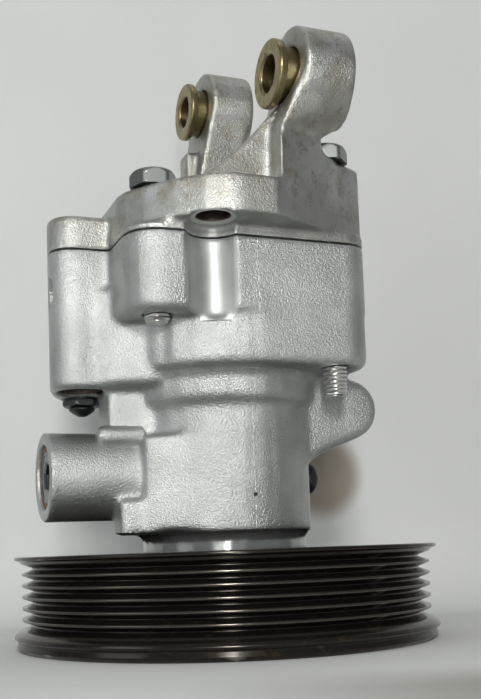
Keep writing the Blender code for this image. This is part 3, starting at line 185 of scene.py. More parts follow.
# %% Node helpers
def add_node(tree, kind, values=(), **settings):
    """A node with its settings; values maps an input to a number, or to a socket to link."""
    made = tree.nodes.new(kind)
    for key, value in settings.items():
        setattr(made, key, value)
    for key, value in dict(values).items():
        if isinstance(value, bpy.types.NodeSocket):
            tree.links.new(value, made.inputs[key])
        else:
            made.inputs[key].default_value = value
    return made


def maths(tree, operation, *values):
    """One sum on one to three values, each a number or a socket."""
    return add_node(tree, "ShaderNodeMath", enumerate(values), operation=operation).outputs[0]


def times(tree, first, second):
    """first times second."""
    return maths(tree, "MULTIPLY", first, second)


def fade(tree, value, low, high):
    """0 below low, 1 above high and a smooth slope between; it falls where low is above high."""
    values = {"Value": value, "From Min": low, "From Max": high}
    return add_node(tree, "ShaderNodeMapRange", values, interpolation_type="SMOOTHSTEP").outputs[0]


def level(tree, length, low, high):
    """fade() of a length, with its limits in millimetres."""
    return fade(tree, length, low * MM, high * MM)


def mix(tree, share, first, second):
    """The colour first, and share of the way from it to the colour second."""
    values = {0: share, 6: first, 7: second}
    return add_node(tree, "ShaderNodeMix", values, data_type="RGBA").outputs[2]


def paint(tree, base, colour, mask, share):
    """base where the mask is 0, and share of the way to colour where it is 1."""
    return mix(tree, times(tree, mask, share), base, (*colour, 1.0))


def split(tree, vector):
    """The x, y and z of a vector."""
    return add_node(tree, "ShaderNodeSeparateXYZ", {0: vector}).outputs


def noise(tree, vector, scale, detail=2.0, roughness=0.5):
    """Soft clouds between 0 and 1, scale of them to the metre."""
    values = {"Vector": vector, "Scale": scale, "Detail": detail, "Roughness": roughness}
    return add_node(tree, "ShaderNodeTexNoise", values).outputs[0]


def new_group(name, inputs, outputs):
    """An empty shader group; inputs maps each name to its default, where None is a vector."""
    tree = bpy.data.node_groups.new(name, "ShaderNodeTree")
    for label, value in inputs.items():
        kind = "NodeSocketVector" if value is None else "NodeSocketFloat"
        socket = tree.interface.new_socket(label, in_out="INPUT", socket_type=kind)
        if value is not None:
            socket.default_value = value
    for label in outputs:
        tree.interface.new_socket(label, in_out="OUTPUT", socket_type="NodeSocketFloat")
    given = tree.nodes.new("NodeGroupInput").outputs
    return tree, given, tree.nodes.new("NodeGroupOutput").inputs


# %% Grain and wear
def cast_grain():
    """Bumps of one size with a finer roughness over them, like the skin of a sand casting."""
    names = {"Vector": None, "Size (mm)": 0.5}
    tree, given, out = new_group("cast_grain", names, ["Height", "Speck"])
    where = given["Vector"]
    scale = maths(tree, "DIVIDE", 1000.0, given["Size (mm)"])
    values = {"Vector": where, "Scale": scale}
    cells = add_node(tree, "ShaderNodeTexVoronoi", values, feature="SMOOTH_F1")
    fine = noise(tree, where, times(tree, scale, 1.7), 3.0, 0.6)
    height = maths(tree, "ADD", times(tree, cells.outputs["Distance"], 0.8), fine)
    tree.links.new(height, out["Height"])
    tree.links.new(fade(tree, fine, 0.60, 0.72), out["Speck"])
    return tree


def worn_edges():
    """Edge: where the surface turns outwards sharply, broken up with noise. Hollow: inwards."""
    names = {"Vector": None, "Start": 0.52, "End": 0.6}
    tree, given, out = new_group("worn_edges", names, ["Edge", "Hollow"])
    point = add_node(tree, "ShaderNodeNewGeometry").outputs["Pointiness"]
    clouds = noise(tree, given["Vector"], 900.0, 4.0)
    ragged = maths(tree, "ADD", point, maths(tree, "MULTIPLY_ADD", clouds, 0.06, -0.03))
    tree.links.new(fade(tree, ragged, given["Start"], given["End"]), out["Edge"])
    hollow = fade(tree, maths(tree, "SUBTRACT", 0.5, point), 0.015, 0.10)
    tree.links.new(hollow, out["Hollow"])
    return tree


# %% Stains, turning marks and zones
def stains():
    """Blotches of two sizes added together, so that they gather in patches."""
    names = {"Vector": None, "Size (mm)": 6.0, "Cover": 0.5}
    tree, given, out = new_group("stains", names, ["Mask"])
    scale = maths(tree, "DIVIDE", 1000.0, given["Size (mm)"])
    large = noise(tree, given["Vector"], scale, 3.0, 0.6)
    small = noise(tree, given["Vector"], times(tree, scale, 4.3), 4.0, 0.65)
    both = maths(tree, "ADD", times(tree, large, 0.62), times(tree, small, 0.38))
    low = maths(tree, "SUBTRACT", 0.74, times(tree, given["Cover"], 0.36))
    mask = fade(tree, both, low, maths(tree, "ADD", low, 0.09))
    tree.links.new(mask, out["Mask"])
    return tree


def turning_marks():
    """Fine rings at even steps along Z, with an uneven depth, as a lathe tool leaves them."""
    names = {"Vector": None, "Pitch (mm)": 0.35}
    tree, given, out = new_group("turning_marks", names, ["Height"])
    z = split(tree, given["Vector"])[2]
    turns = maths(tree, "DIVIDE", times(tree, z, 2000.0 * math.pi), given["Pitch (mm)"])
    rings = maths(tree, "SINE", turns)
    streak = add_node(tree, "ShaderNodeCombineXYZ", {2: times(tree, z, 2600.0)}).outputs[0]
    uneven = noise(tree, streak, 1.0, 2.0)
    tree.links.new(maths(tree, "ADD", times(tree, rings, 0.25), uneven), out["Height"])
    return tree


def round_zone():
    """1 inside a cylinder round Z and between two heights, with edges half a millimetre soft."""
    names = {
        "Vector": None, "X (mm)": 0.0, "Y (mm)": 0.0, "Radius (mm)": 5.0,
        "Low (mm)": 0.0, "High (mm)": 10.0}
    tree, given, out = new_group("round_zone", names, ["Mask"])
    x, y, z = (times(tree, part, 1000.0) for part in split(tree, given["Vector"]))
    dx = maths(tree, "SUBTRACT", x, given["X (mm)"])
    dy = maths(tree, "SUBTRACT", y, given["Y (mm)"])
    away = maths(tree, "SQRT", maths(tree, "ADD", times(tree, dx, dx), times(tree, dy, dy)))
    mask = 1.0
    sides = (given["Radius (mm)"], away), (z, given["Low (mm)"]), (given["High (mm)"], z)
    for more, less in sides:
        inside = fade(tree, maths(tree, "SUBTRACT", more, less), -0.25, 0.25)
        mask = times(tree, mask, inside)
    tree.links.new(mask, out["Mask"])
    return tree


MAKERS = (cast_grain, worn_edges, stains, turning_marks, round_zone)
GROUPS = {make.__name__: make() for make in MAKERS}
print("node groups:", sorted(GROUPS))

# %% [markdown]
# ## Finishes
# A finish starts as a Principled shader with its plain socket values. The effects are
# then placed round it. Grain and rings go through a Bump node; stains and wear change
# the colour and the roughness.

# %% Material helpers
def finish(name, colour, roughness, metallic):
    """A material with plain values; gives it, its tree, its shader and object coordinates."""
    material = bpy.data.materials.new(name)
    material.use_nodes = True
    tree = material.node_tree
    shader = tree.nodes["Principled BSDF"]
    shader.inputs["Base Color"].default_value = (*colour, 1.0)
    shader.inputs["Roughness"].default_value = roughness
    shader.inputs["Metallic"].default_value = metallic
    print("finish:", name)
    return material, tree, shader, add_node(tree, "ShaderNodeTexCoord").outputs["Object"]


LABELS = {
    "size": "Size (mm)", "pitch": "Pitch (mm)", "cover": "Cover", "start": "Start", "end": "End",
    "x": "X (mm)", "y": "Y (mm)", "radius": "Radius (mm)", "low": "Low (mm)", "high": "High (mm)",
}


def effect(tree, name, where, **values):
    """Places a node group on the coordinates where, with its own values."""
    made = add_node(tree, "ShaderNodeGroup", node_tree=GROUPS[name])
    tree.links.new(where, made.inputs["Vector"])
    for key, value in values.items():
        made.inputs[LABELS[key]].default_value = value
    return made.outputs


def feed(tree, shader, socket, value):
    """Links a value that changes over the surface to one of the shader's sockets."""
    tree.links.new(value, shader.inputs[socket])


def bump(tree, shader, height, strength, depth_mm):
    """Tilts the surface's normal as a relief of this depth would."""
    values = {"Height": height, "Strength": strength, "Distance": depth_mm * MM}
    feed(tree, shader, "Normal", add_node(tree, "ShaderNodeBump", values).outputs[0])


# %% [markdown]
# The two castings are aluminium. The front one keeps the grain of its mould and is
# bright; the cover is smoother and stained brown round its ears. Cut faces, such as
# the round groove beside the bolt and the port's rim, have no grain. The zones that are
# cut, or that hold painted shade inside a hole, are cylinders: x, y, radius, lowest and
# highest height. Colours lie over the metal in this order: darker hollows, stains, pits,
# bare edges, then painted shade under the barrel's lower edge and inside the holes.

# %% Zones and stains of the castings
ZONES = {
    "machined": (*BRACKET_HOLE, 11.0, 94.0, 122.0),
    "groove": (*BRACKET_HOLE, 8.6, 97.0, 127.2),
    "hole_rim": (*BRACKET_HOLE, 6.9, 125.6, 127.3),
    "hole": (*BRACKET_HOLE, 5.75, 127.3, 138.0),
    "port": (*PORT, 7.9, 79.9, 106.0),
}
# The second colour is painted shade, for a dark band under the barrel's lower edge.
HOLLOW_DARKENING, BARREL_FOOT_SHADE = (0.12, 0.11, 0.09), (0.055, 0.065, 0.065)
BROWN_STAIN, YELLOW_FILM = (0.19, 0.17, 0.13), (0.27, 0.25, 0.19)
PIT_GREY, SPECK_GREY = (0.10, 0.095, 0.08), (0.22, 0.22, 0.21)
# The first colour is painted shade, for the inside of the overhang's hole and of the port.
HOLE_SHADE, BARE_EDGE, CUT_RIM = (0.07, 0.045, 0.03), (0.80, 0.80, 0.79), (0.85, 0.85, 0.84)
print("zones:", sorted(ZONES))


def zone(tree, where, name):
    """The mask of one of the castings' zones."""
    x, y, radius, low, high = ZONES[name]
    return effect(tree, "round_zone", where, x=x, y=y, radius=radius, low=low, high=high)["Mask"]


# %% Castings
def casting(name, light, dark, depth_mm, stain_cover, stain_from, film_share, grain_mm=0.52):
    """Grained aluminium that clouds between light and dark and is stained above stain_from."""
    material, tree, shader, where = finish(name, light, 0.42, 0.9)
    height = split(tree, where)[2]
    grain = effect(tree, "cast_grain", where, size=grain_mm)
    wear = effect(tree, "worn_edges", where, start=0.53, end=0.62)
    clouds = fade(tree, noise(tree, where, 60.0, 3.0), 0.35, 0.7)
    base = mix(tree, clouds, (*dark, 1.0), (*light, 1.0))
    # Darker where the surface turns inwards.
    base = paint(tree, base, HOLLOW_DARKENING, wear["Hollow"], 0.8)

    stained = level(tree, height, stain_from, stain_from + 14)
    spots = effect(tree, "stains", where, size=3.6, cover=stain_cover)["Mask"]
    base = paint(tree, base, BROWN_STAIN, times(tree, spots, stained), 0.5)
    film = fade(tree, noise(tree, where, 130.0, 4.0), 0.42, 0.68)
    base = paint(tree, base, YELLOW_FILM, times(tree, film, stained), film_share)
    pits = effect(tree, "stains", where, size=1.1, cover=0.22)["Mask"]
    base = paint(tree, base, PIT_GREY, pits, 0.28)
    base = paint(tree, base, SPECK_GREY, grain["Speck"], 0.55)

    uncut = maths(tree, "SUBTRACT", 1.0, zone(tree, where, "machined"))
    edge = times(tree, wear["Edge"], uncut)
    base = paint(tree, base, BARE_EDGE, edge, 0.6)
    # Painted shade: a dark band round the barrel's lower edge, where its underside meets the nose.
    foot_shade_low = level(tree, height, BARREL_START - 1.2, BARREL_START - 0.6)
    foot_shade_high = level(tree, height, BARREL_START + 0.7, BARREL_START + 0.3)
    base = paint(tree, base, BARREL_FOOT_SHADE, times(tree, foot_shade_low, foot_shade_high), 0.35)
    # Painted shade inside the overhang's hole and the port.
    holes = maths(tree, "MAXIMUM", zone(tree, where, "hole"), zone(tree, where, "port"))
    base = paint(tree, base, HOLE_SHADE, holes, 0.9)
    base = paint(tree, base, CUT_RIM, zone(tree, where, "hole_rim"), 0.7)
    feed(tree, shader, "Base Color", base)

    groove = zone(tree, where, "groove")
    nose = level(tree, height, BARREL_START + 0.2, BARREL_START - 0.4)
    rough = maths(tree, "MULTIPLY_ADD", noise(tree, where, 240.0, 3.0), 0.12, 0.29)
    for mask, change in ((edge, -0.08), (groove, 0.16), (nose, -0.16)):
        rough = maths(tree, "ADD", rough, times(tree, mask, change))
    feed(tree, shader, "Roughness", rough)
    smooth = maths(tree, "MAXIMUM", times(tree, groove, 0.92), nose)
    left = maths(tree, "SUBTRACT", 1.0, smooth)
    bump(tree, shader, times(tree, grain["Height"], left), 0.9, depth_mm)
    return material


FRONT_CAST = casting(
    "front_casting", (0.50, 0.52, 0.51), (0.40, 0.415, 0.405),
    depth_mm=0.22, stain_cover=0.15, stain_from=96.0, film_share=0.15)
COVER_CAST = casting(
    "cover_casting", (0.50, 0.51, 0.49), (0.36, 0.365, 0.345),
    depth_mm=0.16, stain_cover=0.6, stain_from=122.0, film_share=0.55)

# %% [markdown]
# The steel pieces differ only in colour and in how fine their turning marks are, so
# one function makes them all. Marks run round Z, so a piece that lies along X turns
# its coordinates first, with a Mapping node. The bolts are bare and pale below the
# cover, where their plating has worn off in the holes.

# %% Turned metals
METAL_DIRT, PALE_STEEL = (0.10, 0.08, 0.055), (0.66, 0.66, 0.64)


def turned_metal(name, colour, roughness, pitch=0.35, stain=0.3, along_x=False, pale_below=0.0):
    """Metal with rings of one pitch, stains, darker hollows and bright worn edges."""
    material, tree, shader, where = finish(name, colour, roughness, 1.0)
    axis = where
    if along_x:
        values = {"Vector": where, "Rotation": (0, math.pi / 2, 0)}
        axis = add_node(tree, "ShaderNodeMapping", values).outputs[0]
    marks = effect(tree, "turning_marks", axis, pitch=pitch)["Height"]
    spots = effect(tree, "stains", where, size=3.0, cover=stain)["Mask"]
    wear = effect(tree, "worn_edges", where, start=0.56, end=0.70)
    bright = [min(1.0, c * 1.35 + 0.06) for c in colour]
    base = paint(tree, (*colour, 1.0), METAL_DIRT, spots, 0.55)
    # Darker where the surface turns inwards, in the same colour as the stains.
    base = paint(tree, base, METAL_DIRT, wear["Hollow"], 0.6)
    base = paint(tree, base, bright, wear["Edge"], 0.7)
    if pale_below:
        pale = level(tree, split(tree, where)[2], pale_below, pale_below - 1)
        base = paint(tree, base, PALE_STEEL, pale, 1.0)
    feed(tree, shader, "Base Color", base)
    feed(tree, shader, "Roughness", maths(tree, "MULTIPLY_ADD", spots, 0.2, roughness))
    bump(tree, shader, marks, 0.4, 0.02)
    return material


BRIGHT_STEEL = turned_metal("bright_turned_steel", (0.62, 0.62, 0.62), 0.26, stain=0.15)
ZINC = turned_metal("zinc_plated_steel", (0.12, 0.128, 0.13), 0.36, stain=0.5)
BOLT_ZINC = turned_metal("bolt_plating", (0.26, 0.275, 0.265), 0.34, stain=0.5, pale_below=120.0)
YELLOW_ZINC = turned_metal(
    "yellow_zinc_plating", (0.28, 0.235, 0.12), 0.30, pitch=0.5, stain=0.62, along_x=True)
PLUG_STEEL = turned_metal("plug_steel", (0.17, 0.178, 0.185), 0.26, stain=0.4, along_x=True)
BRONZE = turned_metal("sintered_bronze", (0.50, 0.32, 0.15), 0.38, stain=0.3)
SPRING_STEEL = turned_metal("spring_steel", (0.20, 0.20, 0.21), 0.3, pitch=0.2, stain=0.2)
RUST = turned_metal("brown_oxide", (0.20, 0.11, 0.06), 0.55, stain=0.6, along_x=True)

# %% [markdown]
# The pulley is steel under a dark coat. Its grooves have kept the coat and a film of
# brown oil, while the belt has rubbed the crests a little paler. Chips and sharp edges
# show bare metal. The radius says which is which: crests and rims lie furthest out.

# %% Pulley coat
COAT_BLACK, OIL_BROWN = (0.026, 0.023, 0.019), (0.075, 0.052, 0.032)
RUBBED_CREST, CHIPPED_STEEL = (0.42, 0.38, 0.33), (0.40, 0.37, 0.33)


def pulley_coat():
    """Black coat with oil spots; crests lie 66.5 to 67.1 from the axis and rims over 69."""
    material, tree, shader, where = finish("worn_black_coat", (0.02, 0.016, 0.013), 0.3, 0.75)
    x, y, _ = split(tree, where)
    radius = maths(tree, "SQRT", maths(tree, "ADD", times(tree, x, x), times(tree, y, y)))
    ragged = maths(tree, "MULTIPLY_ADD", noise(tree, where, 420.0, 4.0), 0.0010, -0.0005)
    reach = maths(tree, "ADD", radius, ragged)
    crest = times(tree, level(tree, reach, 65.9, 66.5), level(tree, radius, 67.5, 67.1))
    rim = level(tree, reach, 68.7, 69.3)
    spots = effect(tree, "stains", where, size=5.0, cover=0.5)["Mask"]
    wear = effect(tree, "worn_edges", where, start=0.55, end=0.66)
    worn = maths(tree, "MAXIMUM", times(tree, rim, 0.04), wear["Edge"])
    base = paint(tree, (*COAT_BLACK, 1.0), OIL_BROWN, spots, 0.8)
    base = paint(tree, base, RUBBED_CREST, crest, 0.12)
    base = paint(tree, base, CHIPPED_STEEL, worn, 0.6)
    feed(tree, shader, "Base Color", base)
    rough = maths(tree, "MULTIPLY_ADD", noise(tree, where, 300.0, 3.0), 0.16, 0.10)
    feed(tree, shader, "Roughness", rough)
    marks = effect(tree, "turning_marks", where, pitch=0.3)["Height"]
    bump(tree, shader, marks, 0.25, 0.03)
    return material


BLACK_COAT = pulley_coat()

# %% [markdown]
# Rubber and plastic have a soft grain and grey dust in patches. The last of these
# finishes is no real material: it darkens the bottom of a hole too small to light.

# %% Rubber and plastic
def moulded(name, colour, roughness, size):
    """Rubber or plastic: a soft fine grain, with dust a little paler than the colour."""
    material, tree, shader, where = finish(name, colour, roughness, 0.0)
    grain = effect(tree, "cast_grain", where, size=size)
    dust = effect(tree, "stains", where, size=4.0, cover=0.3)["Mask"]
    grey = [c + 0.05 for c in colour]
    feed(tree, shader, "Base Color", paint(tree, (*colour, 1.0), grey, dust, 0.6))
    bump(tree, shader, grain["Height"], 0.2, 0.03)
    return material


RUBBER = moulded("black_rubber_skin", (0.018, 0.018, 0.018), 0.62, 0.4)
PLASTIC = moulded("black_plastic_skin", (0.014, 0.014, 0.016), 0.34, 0.8)
DARK_GAP = moulded("dark_gap", (0.02, 0.016, 0.012), 0.5, 0.4)

# %% [markdown]
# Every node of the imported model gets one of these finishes, also the ones that are
# sealed inside, so that the pump can be taken apart and still look right.

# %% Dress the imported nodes
WEARERS = {
    FRONT_CAST: "housing", COVER_CAST: "rear_cover", BLACK_COAT: "pulley",
    ZINC: "pulley_nut pulley_washer return_union", SPRING_STEEL: "valve_spring",
    BRONZE: "bearing_cage shaft_front_bush shaft_rear_bush", PLUG_STEEL: "valve_plug",
    RUBBER: "shaft_seal valve_plug_o_ring side_plate_o_ring cover_o_ring",
    PLASTIC: "passage_plug union_cap", YELLOW_ZINC: "mount_bush_near mount_bush_far",
    BOLT_ZINC: "cover_bolt_1 cover_bolt_2 cover_bolt_3 cover_bolt_4",
}
looks = {name: look for look, names in WEARERS.items() for name in names.split()}
for name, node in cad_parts.items():
    node.data.materials.clear()
    node.data.materials.append(looks.get(name, BRIGHT_STEEL))
print(len(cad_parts), "nodes dressed")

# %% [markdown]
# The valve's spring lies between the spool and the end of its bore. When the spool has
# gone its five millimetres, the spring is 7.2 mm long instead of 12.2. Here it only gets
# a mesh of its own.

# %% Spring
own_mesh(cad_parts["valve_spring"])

# %% [markdown]
# A new piece gets its finish, and the imported nodes that it stands for are
# hidden here. Those stay in the simulation and are hidden here.


def dress(piece, look, *nodes):
    """Gives a new piece its finish and hides the nodes it stands for."""
    piece.data.materials.append(look)
    if nodes:
        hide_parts(*nodes)
    print(piece.name, len(piece.data.polygons), "faces, in place of", ", ".join(nodes) or "nothing")


# %% [markdown]
# ## Castings with soft edges
# A casting has no sharp edge: every corner and every joint between two forms is a
# fillet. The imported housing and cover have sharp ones. Each is rebuilt on an even grid
# of small cells and then relaxed: every point moves part of the way to the middle of
# its neighbours, over and over, which rounds edges and fills inner corners but leaves
# flat and gently curved faces where they are.

# %% Even cells
def even_copy(node, cell_mm, less=(), more=()):
    """The node's surface as even quads: a welded copy, with prisms added and taken away."""
    mesh = bpy.data.meshes.new(node + "_copy")
    clean(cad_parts[node].data, mesh, 2e-6, outwards=False)
    copy = show(node + "_copy", mesh)
    for prisms, operation in ((more, "UNION"), (less, "DIFFERENCE")):
        for other in prisms:
            change = copy.modifiers.new(operation, "BOOLEAN")
            change.object, change.operation, change.solver = other, operation, "EXACT"
    remesh = copy.modifiers.new("cells", "REMESH")
    remesh.mode = "VOXEL"
    remesh.voxel_size = cell_mm * MM
    graph = bpy.context.evaluated_depsgraph_get()
    made = bpy.data.meshes.new_from_object(copy.evaluated_get(graph))
    bpy.data.objects.remove(copy)
    return made


def get_points(mesh):
    """A mesh's points in millimetres, one row each."""
    points = np.empty(len(mesh.vertices) * 3, np.float32)
    mesh.vertices.foreach_get("co", points)
    return points.reshape(-1, 3).astype(float) / MM


def set_points(mesh, points):
    """Moves a mesh's points to these places in millimetres."""
    mesh.vertices.foreach_set("co", (points * MM).astype(np.float32).ravel())
    mesh.update()


# %% Relaxing
def relax(mesh, rounds, hold):
    """Moves each point half way to the mean of its neighbours, times hold(points), 0 to 1."""
    points = get_points(mesh)
    ends = np.empty(len(mesh.edges) * 2, np.int32)
    mesh.edges.foreach_get("vertices", ends)
    a, b = ends.reshape(-1, 2).T
    a, b = np.concatenate([a, b]), np.concatenate([b, a])
    count = np.maximum(np.bincount(a, minlength=len(points)), 1)[:, None]
    free = 0.5 * hold(points)[:, None]
    for _ in range(rounds):
        sums = [np.bincount(a, points[b, k], len(points)) for k in range(3)]
        points += free * (np.stack(sums, axis=1) / count - points)
    set_points(mesh, points)


def inside_cylinder(points, centre, radius, low, high):
    """True inside a cylinder round Z and between two heights."""
    x, y, z = points.T
    return (np.hypot(x - centre[0], y - centre[1]) < radius) & (z > low) & (z < high)


def housing_hold(points):
    """Cut faces stay crisp: the joint, the nose, the groove beside the bolt, the valve's end."""
    x, _, z = points.T
    groove = inside_cylinder(points, BRACKET_HOLE, 9.6, 96, 124)
    free = np.where(z > JOINT_PLANE - 1.5, 0.25, 1.0) * np.where(groove, 0.25, 1.0)
    free *= np.where(z < BARREL_START + 0.8, 0.5, 1.0)
    return free * np.where((x < -58.0) & (z < 70), 0.2, 1.0)


def cover_hold(points):
    """Cut faces stay crisp: the joint, the overhang's hole and the sides of the ears."""
    x, _, z = points.T
    hole = inside_cylinder(points, BRACKET_HOLE, 9.6, 120, 140)
    ear_sides = (z > 158) & ((x > 25.6) | (x < 11.6))
    free = np.where(z < JOINT_PLANE + 1.9, 0.25, 1.0) * np.where(hole, 0.3, 1.0)
    return free * np.where(ear_sides, 0.5, 1.0)


# %% [markdown]
# The cover's overhang is not square at the bolt. Its front wall turns back round the
# bolt's head in a long slanting face, so a prism with that curved edge is cut away from
# the copy first. The side of the port block curves in behind its port, in both
# castings. The top of the overhang settles by a little more than a millimetre, and the
# foot of the near ear widens in front of the other bolt. Three more prisms thicken the
# housing where the valve's boss, its neck and its foot run into the barrel, and a
# fourth does the same for the rounded boss on the right, whose web has a sloping
# underside.

# %% Outlines of the prisms, as x and y
SLANT = [
    (-7, -49.7), (-13, -48.7), (-19.5, -45.9), (-26.6, -40.2), (-34.2, -32.2), (-38.6, -25),
    (-40.4, -18), (-42, -15.8), (-60, -15.8), (-60, -64), (-7, -64)]
PORT_SIDE = [
    (-58.7, -8), (-58.1, -3), (-56.6, 5), (-54.3, 12), (-51, 18.6), (-46, 24.5), (-46, 30),
    (-68, 30), (-68, -8)]
BOSS_GUSSET = [(-31.6, -16.2), (-15, -25.2), (-8, -12), (-31.6, 0)]
NECK_WEB = [(-41, -9), (-24, -12), (-20, 2), (-41, 4)]
BOSS_FOOT = [(-39.2, -14.6), (-24, -17), (-20, -4), (-39.2, -5)]
TONGUE_WEB = [(0, -20), (8, -28.1), (22, -20.5), (27, -18.4), (40, -13), (40, 0), (0, 0)]


def prism(outline, low, high, rise=0.0):
    """A prism over a closed outline; its underside lies at z = low + rise x."""
    ring = np.array(outline, float)
    count = len(ring)
    bottom = np.column_stack([ring, low + rise * ring[:, 0]])
    top = np.column_stack([ring, np.full(count, high)])
    here = np.arange(count)
    there = np.roll(here, -1)
    sides = np.column_stack([here, there, there + count, here + count]).tolist()
    faces = sides + [here[::-1].tolist(), (here + count).tolist()]
    mesh = mesh_from("prism", np.vstack([bottom, top]), faces)
    clean(mesh, mesh, WELD)
    return show("prism", mesh)


def smooth_step(value, low, high):
    """0 below low, 1 above high and s^2 (3 - 2s) between, s being the share of the way."""
    share = np.clip((value - low) / (high - low), 0, 1)
    return share * share * (3 - 2 * share)


def settle_cover(points):
    """z less 1.3 near the overhang's top, and x plus 3.5 in a bell round the near ear's foot."""
    x, y, z = points.T
    drop = 1.3 * smooth_step(z, 127, 139) * (1 - smooth_step(z, 141, 158))
    foot = np.exp(-(((z - 151) / 8) ** 2)) * smooth_step(-y, 35, 40) * smooth_step(x, 8, 17)
    return np.column_stack([x + 3.5 * foot, y, z - drop])


# %% The two castings
CELL = 0.87
ROUNDS = 6
corner = prism(SLANT, 125.4, 160)
port_side = prism(PORT_SIDE, 70, 142)
added = [
    prism(BOSS_GUSSET, 34.0, 64.0), prism(NECK_WEB, 62, 79.8), prism(BOSS_FOOT, 33.4, 44),
    prism(TONGUE_WEB, 41.4, 74.0, rise=0.58)]

front_mesh = even_copy("housing", CELL, less=[port_side], more=added)
relax(front_mesh, ROUNDS, housing_hold)
front_casting = place("front_casting", front_mesh, "pump_body")
dress(front_casting, FRONT_CAST, "housing")

cover_mesh = even_copy("rear_cover", CELL * 0.85, less=[corner, port_side])
set_points(cover_mesh, settle_cover(get_points(cover_mesh)))
relax(cover_mesh, ROUNDS, cover_hold)
dress(place("cover_casting", cover_mesh, "pump_body"), COVER_CAST, "rear_cover")

for made in (corner, port_side, *added):
    bpy.data.objects.remove(made)

# %% [markdown]
# ## The pulley
# Six V grooves sit between two rims, at the pitch of a car's accessory belt. The real
# one is spun from steel, so it is a turned surface here too, but with far more facets
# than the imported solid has, and with eased crests that can catch the light.

# %% Pulley
RIB_PITCH, GROOVES = 3.56, 6
CREST, VALLEY, BAND_MIDDLE = 66.6, 63.2, 14.85
FLANK_ANGLE, HALF_FLAT = math.radians(20), 0.2


def grooved_band():
    """Down the band: each groove is crest, valley, valley, crest, at steps of one pitch."""
    middle = BAND_MIDDLE + ((GROOVES - 1) / 2 - np.arange(GROOVES))[:, None] * RIB_PITCH
    flank = (CREST - VALLEY) * math.tan(FLANK_ANGLE)
    across = np.array([HALF_FLAT + flank, HALF_FLAT, -HALF_FLAT, -HALF_FLAT - flank])
    radii = np.tile([CREST, VALLEY, VALLEY, CREST], GROOVES)
    return list(zip(radii, (middle + across).ravel()))


RIM_TOP = [(60.0, 27.6), (68.3, 27.6), (68.9, 27.3), (68.9, 26.5), (67.6, 26.2)]
LIP = [
    (68.7, 3.1), (69.2, 2.1), (67.9, 1.0), (68.3, -0.7), (66.9, -2.0), (64.3, -2.0), (61.6, 0.0)]
DISH_BELOW = [(59.0, 3.7), (36.0, 3.7), (24.0, 10.2), (8.8, 10.2), (8.8, 18.6)]
DISH_ABOVE = [
    (14.0, 18.6), (14.0, 14.3), (24.0, 14.2), (36.0, 7.7), (57.0, 7.7), (59.0, 9.7),
    (59.0, 26.6), (60.0, 27.6)]
WHEEL = RIM_TOP + grooved_band() + LIP + DISH_BELOW + DISH_ABOVE
facets = 224
wheel = turned("fine_pulley", WHEEL, "shaft_and_pulley", steps=facets, rounding=0.28)
dress(wheel, BLACK_COAT, "pulley")

# %% [markdown]
# ## Bolts, union and plug
# A hexagon is a radius that depends on the angle: half the width across flats over the
# cosine of the angle from the nearest flat's middle. Taking the smaller of that and a
# turned profile gives the whole bolt in one surface, with the curved edges that a cone
# leaves where it cuts the six corners. The thread is a small triangle wave that climbs
# one pitch in each turn.

# %% Hexagons and threads
def densify(profile, step):
    """Splits each stretch of a profile into equal parts no longer than step."""
    p = np.asarray(profile, float)
    length = np.hypot(*(p[1:] - p[:-1]).T)
    parts = np.maximum(np.ceil(length / step).astype(int), 1)
    start = np.repeat(np.arange(len(parts)), parts)
    share = (np.arange(parts.sum()) - np.repeat(np.cumsum(parts) - parts, parts)) / parts[start]
    return np.vstack([p[start] + share[:, None] * (p[start + 1] - p[start]), p[-1:]])


def hexagon_radius(angle, across, spin=0.0):
    """across/2 over cos of the angle to the middle of the nearest flat."""
    off = (angle - spin) % (math.pi / 3) - math.pi / 6
    return across / 2 / np.cos(off)


def thread_wave(z, angle, pitch):
    """A triangle wave between 0 and 1 along z, which shifts by one pitch in a turn."""
    phase = (z / pitch - angle / (2 * math.pi)) % 1.0
    return np.abs(2 * phase - 1)


# %% Cover bolts
ACROSS_FLATS, THREAD_PITCH, THREAD_DEPTH, THREAD_LENGTH = 13.0, 1.25, 0.45, 22.0
SHANK_RADIUS = 4.0


def bolt(name, x, y, seat, end, spin):
    """Radius: the smaller of the profile and the hexagon, less the thread's wave near the tip."""
    low, high = seat + 0.3, seat + 5.6
    corner = ACROSS_FLATS / math.sqrt(3) + 0.05
    head = [
        (0, high + 0.1), (5.3, high), (6.3, high - 0.45), (7.0, high - 1.2),
        (corner, high - 2.2), (corner, low + 0.3), (corner - 0.5, low)]
    shank = [(SHANK_RADIUS, low), (SHANK_RADIUS, end + 1.0), (3.1, end), (0, end)]
    rz = np.vstack([densify(eased(head, 0.5), 0.7), densify(shank, 0.17)])
    angle = round_angles(72)
    r, z = rz[:, :1], rz[:, 1:]
    radius = np.minimum(r, hexagon_radius(angle, ACROSS_FLATS, spin))
    threaded = (z < end + THREAD_LENGTH) & (z > end + 0.2)
    threaded = threaded & (r > 3.2) & (r < SHANK_RADIUS + 0.05)
    wave = THREAD_DEPTH * thread_wave(z, angle, THREAD_PITCH)
    radius = radius - np.where(threaded, wave, 0.0)
    return grid_mesh(name, swept(radius, z, angle) + (x, y, 0), "pump_body")


# x, y, the head's seat, the tip, and how far the head is turned, in degrees
BOLTS = (
    (-29.8, -27.2, 138.4, 96.8, 53), (27.8, -31.0, 151.0, 74.6, 43),
    (-29.8, 27.2, 138.4, 96.8, 74), (27.8, 31.0, 151.0, 74.6, 105))
for i, (x, y, seat, end, spin) in enumerate(BOLTS, start=1):
    made = bolt(f"fine_bolt_{i}", x, y, seat, end, math.radians(spin))
    dress(made, BOLT_ZINC, f"cover_bolt_{i}")

# %% [markdown]
# The ears hold flanged bushes. A bush is one closed profile, turned round X: a sleeve
# through the ear, with a flange at its outer end.

